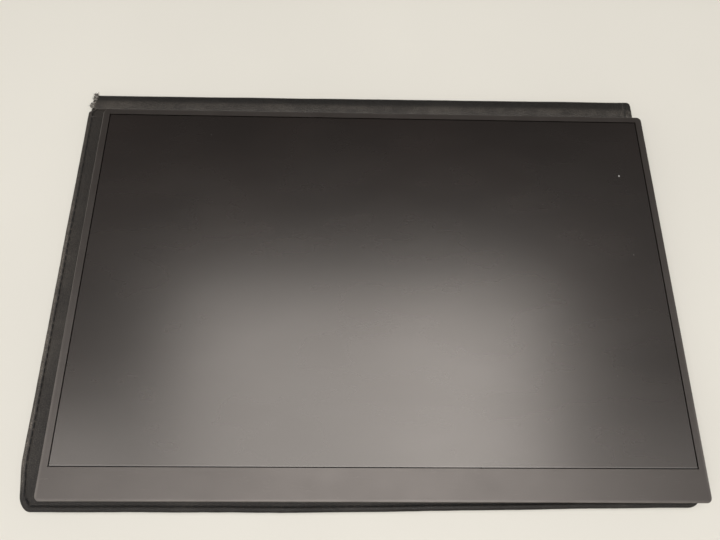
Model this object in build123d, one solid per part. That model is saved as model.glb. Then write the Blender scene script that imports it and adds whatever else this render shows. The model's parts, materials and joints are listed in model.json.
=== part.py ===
from build123d import *
import os

# Portable monitor lying on its magnetic folio cover, which is folded back under it.
# Millimetres, +Z up. The origin is the centre of the footprint on the table.
# +X is the viewer's right and +Y points to the top edge of the screen.
# The folio is a rear panel, a narrow spine and a front cover in two halves, joined by soft creases.

# Screen and monitor outline
screen_w = 344.7
screen_h = 215.4
side_bezel = 4.8
top_bezel = 4.5
chin = 17.3
monitor_t = 8.5
monitor_corner = 3.0
edge_chamfer = 0.4

# Folio
panel_t = 2.2
skin_t = 0.5
hem_w = 6.0
low_corner = 8.0
high_corner = 3.5
board_corner = 4.0
left_reach = 14.55
right_tuck = 0.45
lower_reach = 5.9
spine_left_inset = 2.0
spine_corner = 3.0
crease_t = 1.3
stand_crease_w = 3.0

# Clearances between pieces
fold_gap = 0.3
seat_gap = 0.2
wall_gap = 0.5
lid_gap = 0.4
edge_gap = 0.15
fit_gap = 0.1

# Monitor shells
bezel_t = 1.2
lip_t = 0.8
lip_h = 1.0
chassis_from_low = 4.0
housing_floor = 1.0
housing_wall = 1.4
chassis_t = 0.5

# Display stack, from the face down
screen_recess = 0.3
seam = 0.5
film_t = 0.25
glass_t = 1.0
sheets_t = 0.4
guide_t = 0.8
reflector_t = 0.15
tray_t = 0.4
tray_wall = 0.6
tray_margin = 1.6
gasket_t = 0.3
ledge = 3.0
led_bar_w = 2.0
flex_t = 0.15
flex_w = 22.0
flex_count = 4
flex_pitch = 78.0

# Boards
board_t = 0.8
mainboard_w = 104.0
mainboard_h = 80.0
mainboard_low = 68.0
driver_board_w = 262.0
driver_board_h = 7.5
driver_from_low = 5.0
chip_h = 1.0
chip_side = 8.0
chip_rows = 2
chips_per_row = 4
chip_step = 1.0
scaler_side = 14.0
plug_l = 6.0
plug_h = 0.7
cable_t = 0.2
cable_w = 20.0
key_cable_w = 4.0

# Sockets in the right and left sides
usb_count = 2
usb_w = 8.94
usb_h = 3.2
usb_depth = 7.4
usb_pitch = 18.0
usb_from_board_low = 14.0
hdmi_w = 11.2
hdmi_from_usb = 21.0
socket_wall = 0.3
tongue_t = 0.7
tongue_side_gap = 1.1
tongue_reach = 0.8
round_share = 0.8
mouth_margin = 0.25
socket_setback = 0.4
jack_r = 1.8
jack_nose_wall = 0.4
jack_w = 6.0
jack_h = 5.0
jack_depth = 14.0
jack_bore_depth = 12.0
jack_from_low = 8.0

# Keys on the left side
key_count = 3
key_len = 10.0
key_h = 1.8
key_pitch = 15.0
key_proud = 0.5
key_travel = 0.4
key_gap = 0.15
key_edge_r = 0.3
key_flange = 0.8
key_flange_t = 0.8
key_from_low = 96.0
switch_side = 3.2
switch_t = 1.6
plunger_r = 0.7
plunger_t = 0.5

# Speakers
speaker_w = 46.0
speaker_h = 18.0
speaker_t = 3.4
speaker_wall = 1.0
speaker_from_side = 22.0
speaker_from_low = 20.0
cone_t = 0.5
lead_r = 0.5
grille_slots = 9
grille_slot_w = 1.2
grille_slot_len = 12.0
mesh_t = 0.2

# Vents near the top of the back
vent_slots = 14
vent_slot_w = 1.6
vent_slot_len = 14.0
vent_pitch = 6.0
vent_from_top = 22.0

# Fasteners
back_screw_r = 1.0
back_head_r = 1.9
back_head_t = 0.5
back_screw_reach = 0.8
slot_w = 0.5
slot_d = 0.3
boss_r = 2.4
boss_from_side = 9.0
boss_from_top = 8.0
boss_from_low = 15.5
board_screw_r = 0.8
board_head_r = 1.5
board_head_t = 0.6
board_hole_inset = 5.0
thread_gap = 0.05

# Magnets and steel strips
steel_w = 200.0
steel_h = 14.0
steel_t = 0.4
steel_y = (-40.0, 60.0)
magnet_count = 6
magnet_w = 24.0
magnet_h = 10.0
magnet_t = 1.0
magnet_pitch = 32.0
catch_from_edge = 14.0
catch_x = 146.0

# Levels, worked out from the stack
half_gap = fold_gap / 2
axis_z = panel_t + half_gap
rear_z = panel_t + fold_gap
monitor_z = rear_z + panel_t + seat_gap
face_z = monitor_z + monitor_t
bezel_z = face_z - bezel_t
floor_z = monitor_z + housing_floor
film_z = face_z - screen_recess - film_t
glass_z = film_z - glass_t
sheets_z = glass_z - sheets_t
guide_z = sheets_z - guide_t
reflector_z = guide_z - reflector_t
tray_z = reflector_z - tray_t
chassis_z = tray_z - chassis_t
socket_z = (floor_z + chassis_z) / 2
board_z = socket_z - board_t / 2
board_top = board_z + board_t

# Plan, worked out from the outline
monitor_w = screen_w + 2 * side_bezel
monitor_h = screen_h + top_bezel + chin
fold_r = half_gap + panel_t
crease_half = fold_r + edge_gap
spine_len = monitor_t + 2 * panel_t + fold_gap + seat_gap + lid_gap
overall_w = monitor_w + left_reach
overall_h = lower_reach + monitor_h + wall_gap + fold_r + spine_len + fold_r
folio_x0 = -overall_w / 2
monitor_x1 = overall_w / 2
monitor_x0 = monitor_x1 - monitor_w
folio_x1 = monitor_x1 - right_tuck
folio_y0 = -overall_h / 2
monitor_y0 = folio_y0 + lower_reach
monitor_y1 = monitor_y0 + monitor_h
spine_axis_y = monitor_y1 + wall_gap + fold_r
cover_axis_y = spine_axis_y + spine_len
screen_x0 = monitor_x0 + side_bezel
screen_x1 = screen_x0 + screen_w
screen_y0 = monitor_y0 + chin
screen_y1 = screen_y0 + screen_h
screen_x = (screen_x0 + screen_x1) / 2
screen_y = (screen_y0 + screen_y1) / 2
rear_y1 = spine_axis_y - crease_half
spine_y0 = spine_axis_y + crease_half
spine_y1 = cover_axis_y - crease_half
cover_y0 = folio_y0 + spine_len
stand_axis_y = (cover_y0 + spine_y1) / 2
magnet_rows = [screen_y + offset for offset in steel_y]
catch_cover_y = cover_y0 + catch_from_edge
catch_bezel_y = folio_y0 + catch_from_edge
mainboard_x1 = monitor_x1 - housing_wall - fold_gap
mainboard_x0 = mainboard_x1 - mainboard_w
mainboard_y0 = monitor_y0 + mainboard_low
mainboard_y1 = mainboard_y0 + mainboard_h
usb_centres = [mainboard_y0 + usb_from_board_low + n * usb_pitch for n in range(usb_count)]
hdmi_y = usb_centres[-1] + hdmi_from_usb
jack_y = monitor_y0 + jack_from_low
jack_z = floor_z + jack_h / 2
jack_nose_r = jack_r + jack_nose_wall
speaker_y0 = monitor_y0 + speaker_from_low
flange_x = monitor_x0 + housing_wall + fit_gap
switch_x = flange_x + key_flange_t + key_travel + thread_gap
key_board_x = switch_x + plunger_t + switch_t
driver_y0 = monitor_y0 + driver_from_low
driver_y1 = driver_y0 + driver_board_h
driver_top = tray_z + board_t


def block(x0, x1, y0, y1, z0, z1):
    """A box between two corners."""
    box = Box(x1 - x0, y1 - y0, z1 - z0)
    return Pos((x0 + x1) / 2, (y0 + y1) / 2, (z0 + z1) / 2) * box


def rod(x, y, z0, z1, radius):
    """An upright cylinder between two levels."""
    return Pos(x, y, (z0 + z1) / 2) * Cylinder(radius, z1 - z0)


def plate(x0, x1, y0, y1, z0, z1, low_r, high_r):
    """A flat plate whose near and far corners have their own radii."""
    outline = Pos((x0 + x1) / 2, (y0 + y1) / 2) * Rectangle(x1 - x0, y1 - y0)
    if low_r > 0:
        outline = fillet(outline.vertices().group_by(Axis.Y)[0], low_r)
    if high_r > 0:
        outline = fillet(outline.vertices().group_by(Axis.Y)[-1], high_r)
    return Pos(0, 0, z0) * extrude(outline, z1 - z0)


def group(shapes):
    """Several separate solids of one kind, kept together in one node."""
    return Compound(children=[solid for shape in shapes for solid in shape.solids()])


def screen_plate(z0, z1, margin=0.0, cut_low=0.0):
    """A rectangle over the screen, larger by a margin, shortened at the chin."""
    return block(
        screen_x0 - margin,
        screen_x1 + margin,
        screen_y0 - margin + cut_low,
        screen_y1 + margin,
        z0,
        z1,
    )


# Folio: panels, creases and magnets
def panel_layers(x0, x1, y0, y1, z0, low_r, high_r):
    """The low skin, board, hem ring and high skin of one stiff folio panel."""
    core_z0 = z0 + skin_t
    core_z1 = z0 + panel_t - skin_t
    low_skin = plate(x0, x1, y0, y1, z0, core_z0, low_r, high_r)
    high_skin = plate(x0, x1, y0, y1, core_z1, z0 + panel_t, low_r, high_r)
    inner = (x0 + hem_w, x1 - hem_w, y0 + hem_w, y1 - hem_w)
    board = plate(*inner, core_z0, core_z1, board_corner, board_corner)
    window = plate(
        inner[0] - fit_gap,
        inner[1] + fit_gap,
        inner[2] - fit_gap,
        inner[3] + fit_gap,
        core_z0,
        core_z1,
        board_corner,
        board_corner,
    )
    hem = plate(x0, x1, y0, y1, core_z0, core_z1, low_r, high_r) - window
    return low_skin, board, hem, high_skin


def magnet_row(y, z0, thickness, margin=0.0):
    """A row of bar magnets, or their pockets when a margin is given."""
    first = screen_x - (magnet_count - 1) * magnet_pitch / 2
    half_w = magnet_w / 2 + margin
    half_h = magnet_h / 2 + margin
    centres = [first + n * magnet_pitch for n in range(magnet_count)]
    return [block(x - half_w, x + half_w, y - half_h, y + half_h, z0, z0 + thickness) for x in centres]


def make_rear_panel():
    """The panel that the monitor lies on, with two rows of magnets in its board."""
    outer, board, hem, lining = panel_layers(
        folio_x0, folio_x1, folio_y0, rear_y1, rear_z, low_corner, high_corner
    )
    core_t = panel_t - 2 * skin_t
    magnets = []
    for y in magnet_rows:
        for pocket in magnet_row(y, rear_z + skin_t, core_t, fit_gap):
            board -= pocket
        magnets += magnet_row(y, rear_z + skin_t, magnet_t)
    return {
        "rear_outer_skin": outer,
        "rear_board": board,
        "rear_hem": hem,
        "rear_lining": lining,
        "rear_magnets": group(magnets),
    }


def make_spine():
    """The narrow strip between the rear panel and the cover, with its two creases."""
    x0 = folio_x0 + spine_left_inset
    x1 = folio_x1
    core_z0 = rear_z + skin_t
    core_z1 = rear_z + panel_t - skin_t
    crease_z = rear_z + (panel_t - crease_t) / 2
    fold = Pos((x0 + x1) / 2, cover_axis_y, axis_z) * Rot(0, 90, 0) * Cylinder(fold_r, x1 - x0)
    fold += block(x0, x1, spine_y1, cover_axis_y, 0, 2 * axis_z)
    fold &= block(x0, x1, spine_y1, cover_axis_y + fold_r, 0, 2 * axis_z)
    fold -= Pos((x0 + x1) / 2, cover_axis_y, axis_z) * Rot(0, 90, 0) * Cylinder(half_gap, x1 - x0)
    fold -= block(x0, x1, spine_y1, cover_axis_y, axis_z - half_gap, axis_z + half_gap)
    return {
        "spine_outer_skin": block(x0, x1, spine_y0, spine_y1, rear_z, core_z0),
        "spine_board": block(
            x0 + spine_corner, x1 - spine_corner, spine_y0 + skin_t, spine_y1 - skin_t, core_z0, core_z1
        ),
        "spine_lining": block(x0, x1, spine_y0, spine_y1, core_z1, rear_z + panel_t),
        "spine_crease": block(x0, x1, rear_y1, spine_y0, crease_z, crease_z + crease_t),
        "cover_crease": fold,
    }


def make_cover():
    """The front cover, folded back under the rear panel, in two halves and a crease."""
    half_crease = stand_crease_w / 2
    near = panel_layers(
        folio_x0, folio_x1, stand_axis_y + half_crease, spine_y1, 0, 0, high_corner
    )
    far = panel_layers(
        folio_x0, folio_x1, cover_y0, stand_axis_y - half_crease, 0, low_corner, 0
    )
    core_t = panel_t - 2 * skin_t
    far_board = far[1]
    for pocket in magnet_row(catch_cover_y, skin_t, core_t, fit_gap):
        far_board -= pocket
    crease_z = (panel_t - crease_t) / 2
    return {
        "cover_near_lining": near[0],
        "cover_near_board": near[1],
        "cover_near_hem": near[2],
        "cover_near_skin": near[3],
        "stand_crease": block(
            folio_x0,
            folio_x1,
            stand_axis_y - half_crease,
            stand_axis_y + half_crease,
            crease_z,
            crease_z + crease_t,
        ),
        "cover_far_lining": far[0],
        "cover_far_board": far_board,
        "cover_far_hem": far[2],
        "cover_far_skin": far[3],
        "cover_magnets": group(magnet_row(catch_cover_y, skin_t, magnet_t)),
    }


# Monitor shells
def boss_places():
    """The six places where the back housing is screwed to the chassis."""
    xs = (monitor_x0 + boss_from_side, screen_x, monitor_x1 - boss_from_side)
    ys = (monitor_y0 + boss_from_low, monitor_y1 - boss_from_top)
    return [(x, y) for x in xs for y in ys]


def speaker_boxes():
    """The plan of the left and right speaker, as low and high x."""
    left = monitor_x0 + speaker_from_side
    right = monitor_x1 - speaker_from_side - speaker_w
    return [(left, left + speaker_w), (right, right + speaker_w)]


def key_centres():
    """The y of the minus, plus and power keys, from low to high."""
    return [monitor_y0 + key_from_low + n * key_pitch for n in range(key_count)]


def make_housing():
    """The back shell with its sockets' mouths, key slots, grilles, vents and screw holes."""
    shell = plate(
        monitor_x0, monitor_x1, monitor_y0, monitor_y1, monitor_z, bezel_z, monitor_corner, monitor_corner
    )
    shell = chamfer(shell.edges().group_by(Axis.Z)[0], edge_chamfer)
    inner_r = monitor_corner - housing_wall
    shell -= plate(
        monitor_x0 + housing_wall,
        monitor_x1 - housing_wall,
        monitor_y0 + housing_wall,
        monitor_y1 - housing_wall,
        floor_z,
        bezel_z,
        inner_r,
        inner_r,
    )
    for x, y in boss_places():
        shell -= rod(x, y, monitor_z, floor_z, back_screw_r + fit_gap)
        shell -= rod(x, y, monitor_z, monitor_z + back_head_t, back_head_r + fit_gap)
    slot_pitch = (speaker_w - 2 * speaker_wall) / grille_slots
    for x0, x1 in speaker_boxes():
        for n in range(grille_slots):
            x = x0 + speaker_wall + (n + 0.5) * slot_pitch
            y = speaker_y0 + speaker_h / 2
            shell -= block(
                x - grille_slot_w / 2,
                x + grille_slot_w / 2,
                y - grille_slot_len / 2,
                y + grille_slot_len / 2,
                monitor_z,
                floor_z,
            )
    for n in range(vent_slots):
        x = screen_x + (n - (vent_slots - 1) / 2) * vent_pitch
        y = monitor_y1 - vent_from_top
        shell -= block(
            x - vent_slot_w / 2, x + vent_slot_w / 2, y - vent_slot_len / 2, y, monitor_z, floor_z
        )
    for y in usb_centres:
        shell -= socket_block(y, usb_w, mouth_margin, housing_wall + socket_setback, 0)
    shell -= socket_block(hdmi_y, hdmi_w, mouth_margin, housing_wall + socket_setback, 0)
    for y in key_centres():
        shell -= key_block(y, key_gap, monitor_x0, monitor_x0 + housing_wall)
    nose = Pos(monitor_x0 + housing_wall / 2, jack_y, jack_z) * Rot(0, 90, 0)
    shell -= nose * Cylinder(jack_nose_r + fit_gap, housing_wall)
    return shell


def make_bezel():
    """The front frame with the deep chin, and the lip that locates it in the housing."""
    frame = plate(
        monitor_x0, monitor_x1, monitor_y0, monitor_y1, bezel_z, face_z, monitor_corner, monitor_corner
    )
    frame = chamfer(frame.edges().group_by(Axis.Z)[-1], edge_chamfer)
    lip_out = housing_wall + fit_gap
    lip_in = lip_out + lip_t
    outer_r = monitor_corner - lip_out
    frame += plate(
        monitor_x0 + lip_out,
        monitor_x1 - lip_out,
        monitor_y0 + lip_out,
        monitor_y1 - lip_out,
        bezel_z - lip_h,
        bezel_z,
        outer_r,
        outer_r,
    )
    frame -= block(
        monitor_x0 + lip_in,
        monitor_x1 - lip_in,
        monitor_y0 + lip_in,
        monitor_y1 - lip_in,
        bezel_z - lip_h,
        bezel_z,
    )
    return frame - screen_plate(bezel_z, face_z, seam)


def make_chassis():
    """The metal plate behind the display, with its screw bosses and the key bracket."""
    wall = housing_wall + fold_gap
    sheet = plate(
        monitor_x0 + wall,
        monitor_x1 - wall,
        monitor_y0 + chassis_from_low,
        monitor_y1 - wall,
        chassis_z,
        tray_z,
        0,
        monitor_corner - housing_wall,
    )
    sheet -= block(
        monitor_x0,
        monitor_x0 + jack_depth + chassis_from_low,
        monitor_y0,
        jack_y + jack_w / 2 + board_t,
        chassis_z,
        tray_z,
    )
    for x, y in boss_places():
        sheet += rod(x, y, floor_z, chassis_z, boss_r)
        sheet -= rod(x, y, floor_z, chassis_z, back_screw_r + thread_gap)
    for x, y in board_hole_places():
        sheet += rod(x, y, board_top, chassis_z, boss_r)
        sheet -= rod(x, y, board_top, chassis_z, board_screw_r + thread_gap)
    sheet += block(
        key_board_x + board_t,
        key_board_x + board_t + chassis_t,
        key_centres()[0] - key_pitch / 2,
        key_centres()[-1] + key_pitch / 2,
        floor_z + fold_gap,
        chassis_z,
    )
    return sheet


def make_back_screws():
    """Six small screws through the back of the housing into the bosses."""
    top = floor_z + (chassis_z - floor_z) * back_screw_reach
    screws = []
    for x, y in boss_places():
        head = rod(x, y, monitor_z, monitor_z + back_head_t, back_head_r)
        shaft = rod(x, y, monitor_z + back_head_t, top, back_screw_r)
        slot = block(
            x - back_head_r, x + back_head_r, y - slot_w / 2, y + slot_w / 2, monitor_z, monitor_z + slot_d
        )
        cross = block(
            x - slot_w / 2, x + slot_w / 2, y - back_screw_r, y + back_screw_r, monitor_z, monitor_z + slot_d
        )
        slot &= rod(x, y, monitor_z, monitor_z + slot_d, back_screw_r)
        screws.append(head + shaft - slot - cross)
    return group(screws)


def make_steel():
    """Two steel strips glued inside the housing, over the rear panel's magnets."""
    half = steel_w / 2
    z1 = floor_z + steel_t
    return group(
        block(screen_x - half, screen_x + half, y - steel_h / 2, y + steel_h / 2, floor_z, z1)
        for y in magnet_rows
    )


def make_catch_magnets():
    """Two magnets under the chin that hold the closed cover."""
    z0 = bezel_z - magnet_t
    half_w = magnet_w / 2
    half_h = magnet_h / 2 - bezel_t
    return group(
        block(x - half_w, x + half_w, catch_bezel_y - half_h, catch_bezel_y + half_h, z0, bezel_z)
        for x in (screen_x - catch_x, screen_x + catch_x)
    )


# Display
def make_display():
    """The display from its matt film down to the tray, with the gasket in the seam."""
    tray_outer = screen_plate(tray_z, bezel_z - gasket_t, tray_margin)
    tray_inner = screen_plate(reflector_z, bezel_z, tray_margin - tray_wall)
    low_wall_top = glass_z - flex_t - fold_gap
    low_wall_gap = block(
        screen_x0 - tray_margin + tray_wall,
        screen_x1 + tray_margin - tray_wall,
        screen_y0 - tray_margin,
        screen_y0 - tray_margin + tray_wall,
        low_wall_top,
        bezel_z,
    )
    gasket = screen_plate(bezel_z - gasket_t, bezel_z, tray_margin)
    gasket -= screen_plate(bezel_z - gasket_t, bezel_z, edge_gap)
    return {
        "screen_film": screen_plate(film_z, film_z + film_t),
        "lcd_glass": screen_plate(glass_z, film_z),
        "optical_sheets": screen_plate(sheets_z, glass_z, 0, ledge),
        "light_guide": screen_plate(guide_z, sheets_z, 0, ledge),
        "reflector_sheet": screen_plate(reflector_z, guide_z, 0, ledge),
        "panel_tray": tray_outer - tray_inner - low_wall_gap,
        "seam_gasket": gasket,
        "light_bar": block(
            screen_x0,
            screen_x1,
            screen_y0 + ledge - fit_gap - led_bar_w,
            screen_y0 + ledge - fit_gap,
            reflector_z,
            sheets_z,
        ),
    }


def flex_centres():
    """The x of each flex between the glass and the driver board."""
    return [screen_x + (n - (flex_count - 1) / 2) * flex_pitch for n in range(flex_count)]


def make_flexes():
    """The bent film strips from the glass's ledge down to the driver board."""
    out_y = driver_y1 + fold_gap
    strips = []
    for x in flex_centres():
        x0 = x - flex_w / 2
        x1 = x + flex_w / 2
        strip = block(x0, x1, out_y, screen_y0 + ledge / 2, glass_z - flex_t, glass_z)
        strip += block(x0, x1, out_y, out_y + flex_t, driver_top, glass_z)
        strip += block(x0, x1, out_y - ledge / 2, out_y + flex_t, driver_top, driver_top + flex_t)
        strips.append(strip)
    return group(strips)


# Boards
def board_hole_places():
    """The four screw holes of the mainboard."""
    xs = (mainboard_x0 + board_hole_inset, mainboard_x1 - board_hole_inset)
    ys = (mainboard_y0 + board_hole_inset, mainboard_y1 - board_hole_inset)
    return [(x, y) for x in xs for y in ys]


def socket_block(y, width, margin, depth, wall):
    """The outside of a side socket, or its hole with a margin, from the mouth inwards."""
    x1 = monitor_x1 - socket_setback
    if margin > 0:
        x1 = monitor_x1
    half_w = width / 2 + margin - wall
    half_h = usb_h / 2 + margin - wall
    shape = block(x1 - depth, x1, y - half_w, y + half_w, socket_z - half_h, socket_z + half_h)
    return fillet(shape.edges().filter_by(Axis.X), half_h * round_share)


def make_socket(y, width):
    """A socket's metal shell, open at the mouth, and the tongue inside it."""
    shell = socket_block(y, width, 0, usb_depth, 0)
    shell -= socket_block(y, width, 0, usb_depth - tongue_t, socket_wall)
    x0 = monitor_x1 - socket_setback - usb_depth + tongue_t
    half_w = width / 2 - tongue_side_gap
    half_t = tongue_t / 2
    length = (usb_depth - tongue_t) * tongue_reach
    tongue = block(x0, x0 + length, y - half_w, y + half_w, socket_z - half_t, socket_z + half_t)
    return shell, tongue


def make_mainboard():
    """The mainboard with its socket notches and screw holes."""
    board = block(mainboard_x0, mainboard_x1, mainboard_y0, mainboard_y1, board_z, board_top)
    notch_x = monitor_x1 - socket_setback - usb_depth - fit_gap
    for y, width in [(y, usb_w) for y in usb_centres] + [(hdmi_y, hdmi_w)]:
        half = width / 2 + fit_gap
        board -= block(notch_x, mainboard_x1, y - half, y + half, board_z, board_top)
    for x, y in board_hole_places():
        board -= rod(x, y, board_z, board_top, board_screw_r + fit_gap)
    return board


def make_board_screws():
    """Four screws that hold the mainboard under its standoffs."""
    return group(
        rod(x, y, board_z - board_head_t, board_z, board_head_r)
        + rod(x, y, board_z, chassis_z, board_screw_r)
        for x, y in board_hole_places()
    )


def make_chips():
    """The small parts under the mainboard, in a staggered grid of two rows."""
    chips = []
    for row in range(chip_rows):
        for n in range(chips_per_row):
            x = mainboard_x0 + (n + 1 + row / 2) * mainboard_w / (chips_per_row + 1.5)
            y = mainboard_y0 + (row + 1) * mainboard_h / (chip_rows + 1)
            half = (chip_side - n * chip_step) / 2
            chips.append(block(x - half, x + half, y - half, y + half, board_z - chip_h, board_z))
    return group(chips)


def make_electronics():
    """Boards, chips, sockets, connectors and the flat cables between them."""
    usb = [make_socket(y, usb_w) for y in usb_centres]
    hdmi_shell, hdmi_tongue = make_socket(hdmi_y, hdmi_w)
    scaler_x = (mainboard_x0 + mainboard_x1) / 2
    scaler_y = (mainboard_y0 + mainboard_y1) / 2 + scaler_side / 2
    half = scaler_side / 2
    scaler = (scaler_x - half, scaler_x + half, scaler_y - half, scaler_y + half)
    driver_x0 = screen_x - driver_board_w / 2
    cable_x = speaker_boxes()[1][0] - fold_gap - cable_w / 2
    cable_x0 = cable_x - cable_w / 2
    cable_x1 = cable_x + cable_w / 2
    cable_z = chassis_z - fit_gap - cable_t
    turn_y = monitor_y0 + chassis_from_low / 2 + housing_wall / 2
    plug_top = driver_top + plug_h
    plug_y1 = driver_y0 + plug_l
    cable = block(cable_x0, cable_x1, turn_y, mainboard_y0 + plug_l, cable_z, cable_z + cable_t)
    cable += block(cable_x0, cable_x1, turn_y, turn_y + cable_t, cable_z, plug_top + cable_t)
    cable += block(cable_x0, cable_x1, turn_y, plug_y1, plug_top, plug_top + cable_t)
    key_y = key_centres()[1]
    key_plug_x = mainboard_x0 + plug_l
    key_cable_x = key_board_x + board_t + chassis_t
    plugs = [
        block(cable_x0, cable_x1, driver_y0, plug_y1, driver_top, plug_top),
        block(cable_x0, cable_x1, mainboard_y0 + fit_gap, mainboard_y0 + plug_l, board_top, cable_z),
        block(
            mainboard_x0 + fit_gap,
            key_plug_x,
            key_y - key_cable_w / 2,
            key_y + key_cable_w / 2,
            board_top,
            cable_z,
        ),
    ]
    driver_chips = [
        block(
            x + flex_pitch / 2 - scaler_side / 2,
            x + flex_pitch / 2 + scaler_side / 2,
            driver_y0 + edge_chamfer,
            driver_y1 - edge_chamfer,
            driver_top,
            driver_top + chip_h / 2,
        )
        for x in flex_centres()[:2]
    ]
    return {
        "mainboard": make_mainboard(),
        "board_screws": make_board_screws(),
        "board_chips": make_chips(),
        "scaler_chip": block(*scaler, board_top, board_top + chip_h),
        "thermal_pad": block(*scaler, board_top + chip_h, chassis_z),
        "usb_shells": group(shell for shell, tongue in usb),
        "usb_tongues": group(tongue for shell, tongue in usb),
        "hdmi_shell": hdmi_shell,
        "hdmi_tongue": hdmi_tongue,
        "driver_board": block(
            driver_x0, driver_x0 + driver_board_w, driver_y0, driver_y1, tray_z, driver_top
        ),
        "driver_chips": group(driver_chips),
        "glass_flexes": make_flexes(),
        "display_cable": cable,
        "cable_plugs": group(plugs),
        "key_cable": block(
            key_cable_x,
            key_plug_x,
            key_y - key_cable_w / 2,
            key_y + key_cable_w / 2,
            cable_z,
            cable_z + cable_t,
        ),
    }


def make_jack():
    """The headphone jack: a block in the chin with a round nose through the wall."""
    x0 = monitor_x0 + socket_setback
    body_x0 = monitor_x0 + housing_wall + fit_gap
    body = block(
        body_x0, x0 + jack_depth, jack_y - jack_w / 2, jack_y + jack_w / 2, floor_z, floor_z + jack_h
    )
    axis = Pos((x0 + body_x0) / 2, jack_y, jack_z) * Rot(0, 90, 0)
    body += axis * Cylinder(jack_nose_r, body_x0 - x0)
    bore_x1 = x0 + jack_bore_depth
    body -= Pos((x0 + bore_x1) / 2, jack_y, jack_z) * Rot(0, 90, 0) * Cylinder(jack_r, bore_x1 - x0)
    return body


# Keys
def key_block(y, margin, x0, x1):
    """A key's cap between two x, or its slot with a margin."""
    half_len = key_len / 2 + margin
    half_h = key_h / 2 + margin
    cap = block(x0, x1, y - half_len, y + half_len, socket_z - half_h, socket_z + half_h)
    return fillet(cap.edges().filter_by(Axis.X), half_h * round_share)


def make_key(y):
    """A key's cap through the wall, with the flange that keeps it in."""
    cap = key_block(y, 0, monitor_x0 - key_proud, flange_x)
    cap = fillet(cap.faces().sort_by(Axis.X)[0].edges(), key_edge_r)
    half_len = key_len / 2 + key_flange
    half_h = key_h / 2 + key_flange
    cap += block(
        flange_x, flange_x + key_flange_t, y - half_len, y + half_len, socket_z - half_h, socket_z + half_h
    )
    return cap


def make_keys():
    """Three keys on the left side, their switches and the board behind them."""
    ys = key_centres()
    switches = []
    for y in ys:
        plunger = Pos(switch_x + plunger_t / 2, y, socket_z) * Rot(0, 90, 0)
        half = switch_side / 2
        switch = plunger * Cylinder(plunger_r, plunger_t)
        switch += block(
            switch_x + plunger_t, key_board_x, y - half, y + half, socket_z - half, socket_z + half
        )
        switches.append(switch)
    return {
        "minus_key": make_key(ys[0]),
        "plus_key": make_key(ys[1]),
        "power_key": make_key(ys[2]),
        "key_switches": group(switches),
        "key_board": block(
            key_board_x,
            key_board_x + board_t,
            ys[0] - key_pitch / 2,
            ys[-1] + key_pitch / 2,
            floor_z + fit_gap,
            chassis_z - fit_gap,
        ),
    }


# Sound
def make_sound():
    """Two flat speakers over the grilles, with cones, cloth and leads."""
    z0 = floor_z + mesh_t
    z1 = z0 + speaker_t
    y0 = speaker_y0
    y1 = speaker_y0 + speaker_h
    frames = []
    cones = []
    cloths = []
    for x0, x1 in speaker_boxes():
        inner = (x0 + speaker_wall, x1 - speaker_wall, y0 + speaker_wall, y1 - speaker_wall)
        frame = block(x0, x1, y0, y1, z0, z1) - block(*inner, z0, z1 - cone_t)
        frames.append(frame)
        cones.append(block(*inner, z0 + speaker_wall, z0 + speaker_wall + cone_t))
        cloths.append(block(x0, x1, y0, y1, floor_z, z0))
    left, right = speaker_boxes()
    turn_x = mainboard_x0 + lead_r * 2
    mid_y = (y0 + y1) / 2
    run = Pos((left[1] + turn_x) / 2, mid_y, socket_z) * Rot(0, 90, 0)
    run *= Cylinder(lead_r, turn_x - left[1])
    rise = Pos(turn_x, (mid_y + mainboard_y0) / 2, socket_z) * Rot(90, 0, 0)
    run += rise * Cylinder(lead_r, mainboard_y0 - mid_y)
    run += Pos(turn_x, mid_y, socket_z) * Sphere(lead_r)
    short = Pos((right[0] + right[1]) / 2, (y1 + mainboard_y0) / 2, socket_z) * Rot(90, 0, 0)
    return {
        "speaker_frames": group(frames),
        "speaker_cones": group(cones),
        "grille_cloths": group(cloths),
        "speaker_leads": group([run, short * Cylinder(lead_r, mainboard_y0 - y1)]),
    }


def main():
    """Make every node and write it to its own file."""
    nodes = {
        **make_cover(),
        **make_spine(),
        **make_rear_panel(),
        "back_housing": make_housing(),
        "front_bezel": make_bezel(),
        "chassis_plate": make_chassis(),
        "back_screws": make_back_screws(),
        "steel_strips": make_steel(),
        "catch_magnets": make_catch_magnets(),
        **make_display(),
        **make_electronics(),
        "audio_jack": make_jack(),
        **make_keys(),
        **make_sound(),
    }
    os.makedirs("parts", exist_ok=True)
    for name, shape in nodes.items():
        export_step(shape, f"parts/{name}.step")
    print(len(nodes), "nodes; face at", round(face_z, 2), "overall", round(overall_w, 2), round(overall_h, 2))


main()
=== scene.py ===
import json
import logging
import math
import random
from dataclasses import dataclass, field
from enum import Enum
from typing import Callable, Optional, Sequence, Union

import bmesh
import bpy
from mathutils import Matrix, Vector, noise


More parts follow.
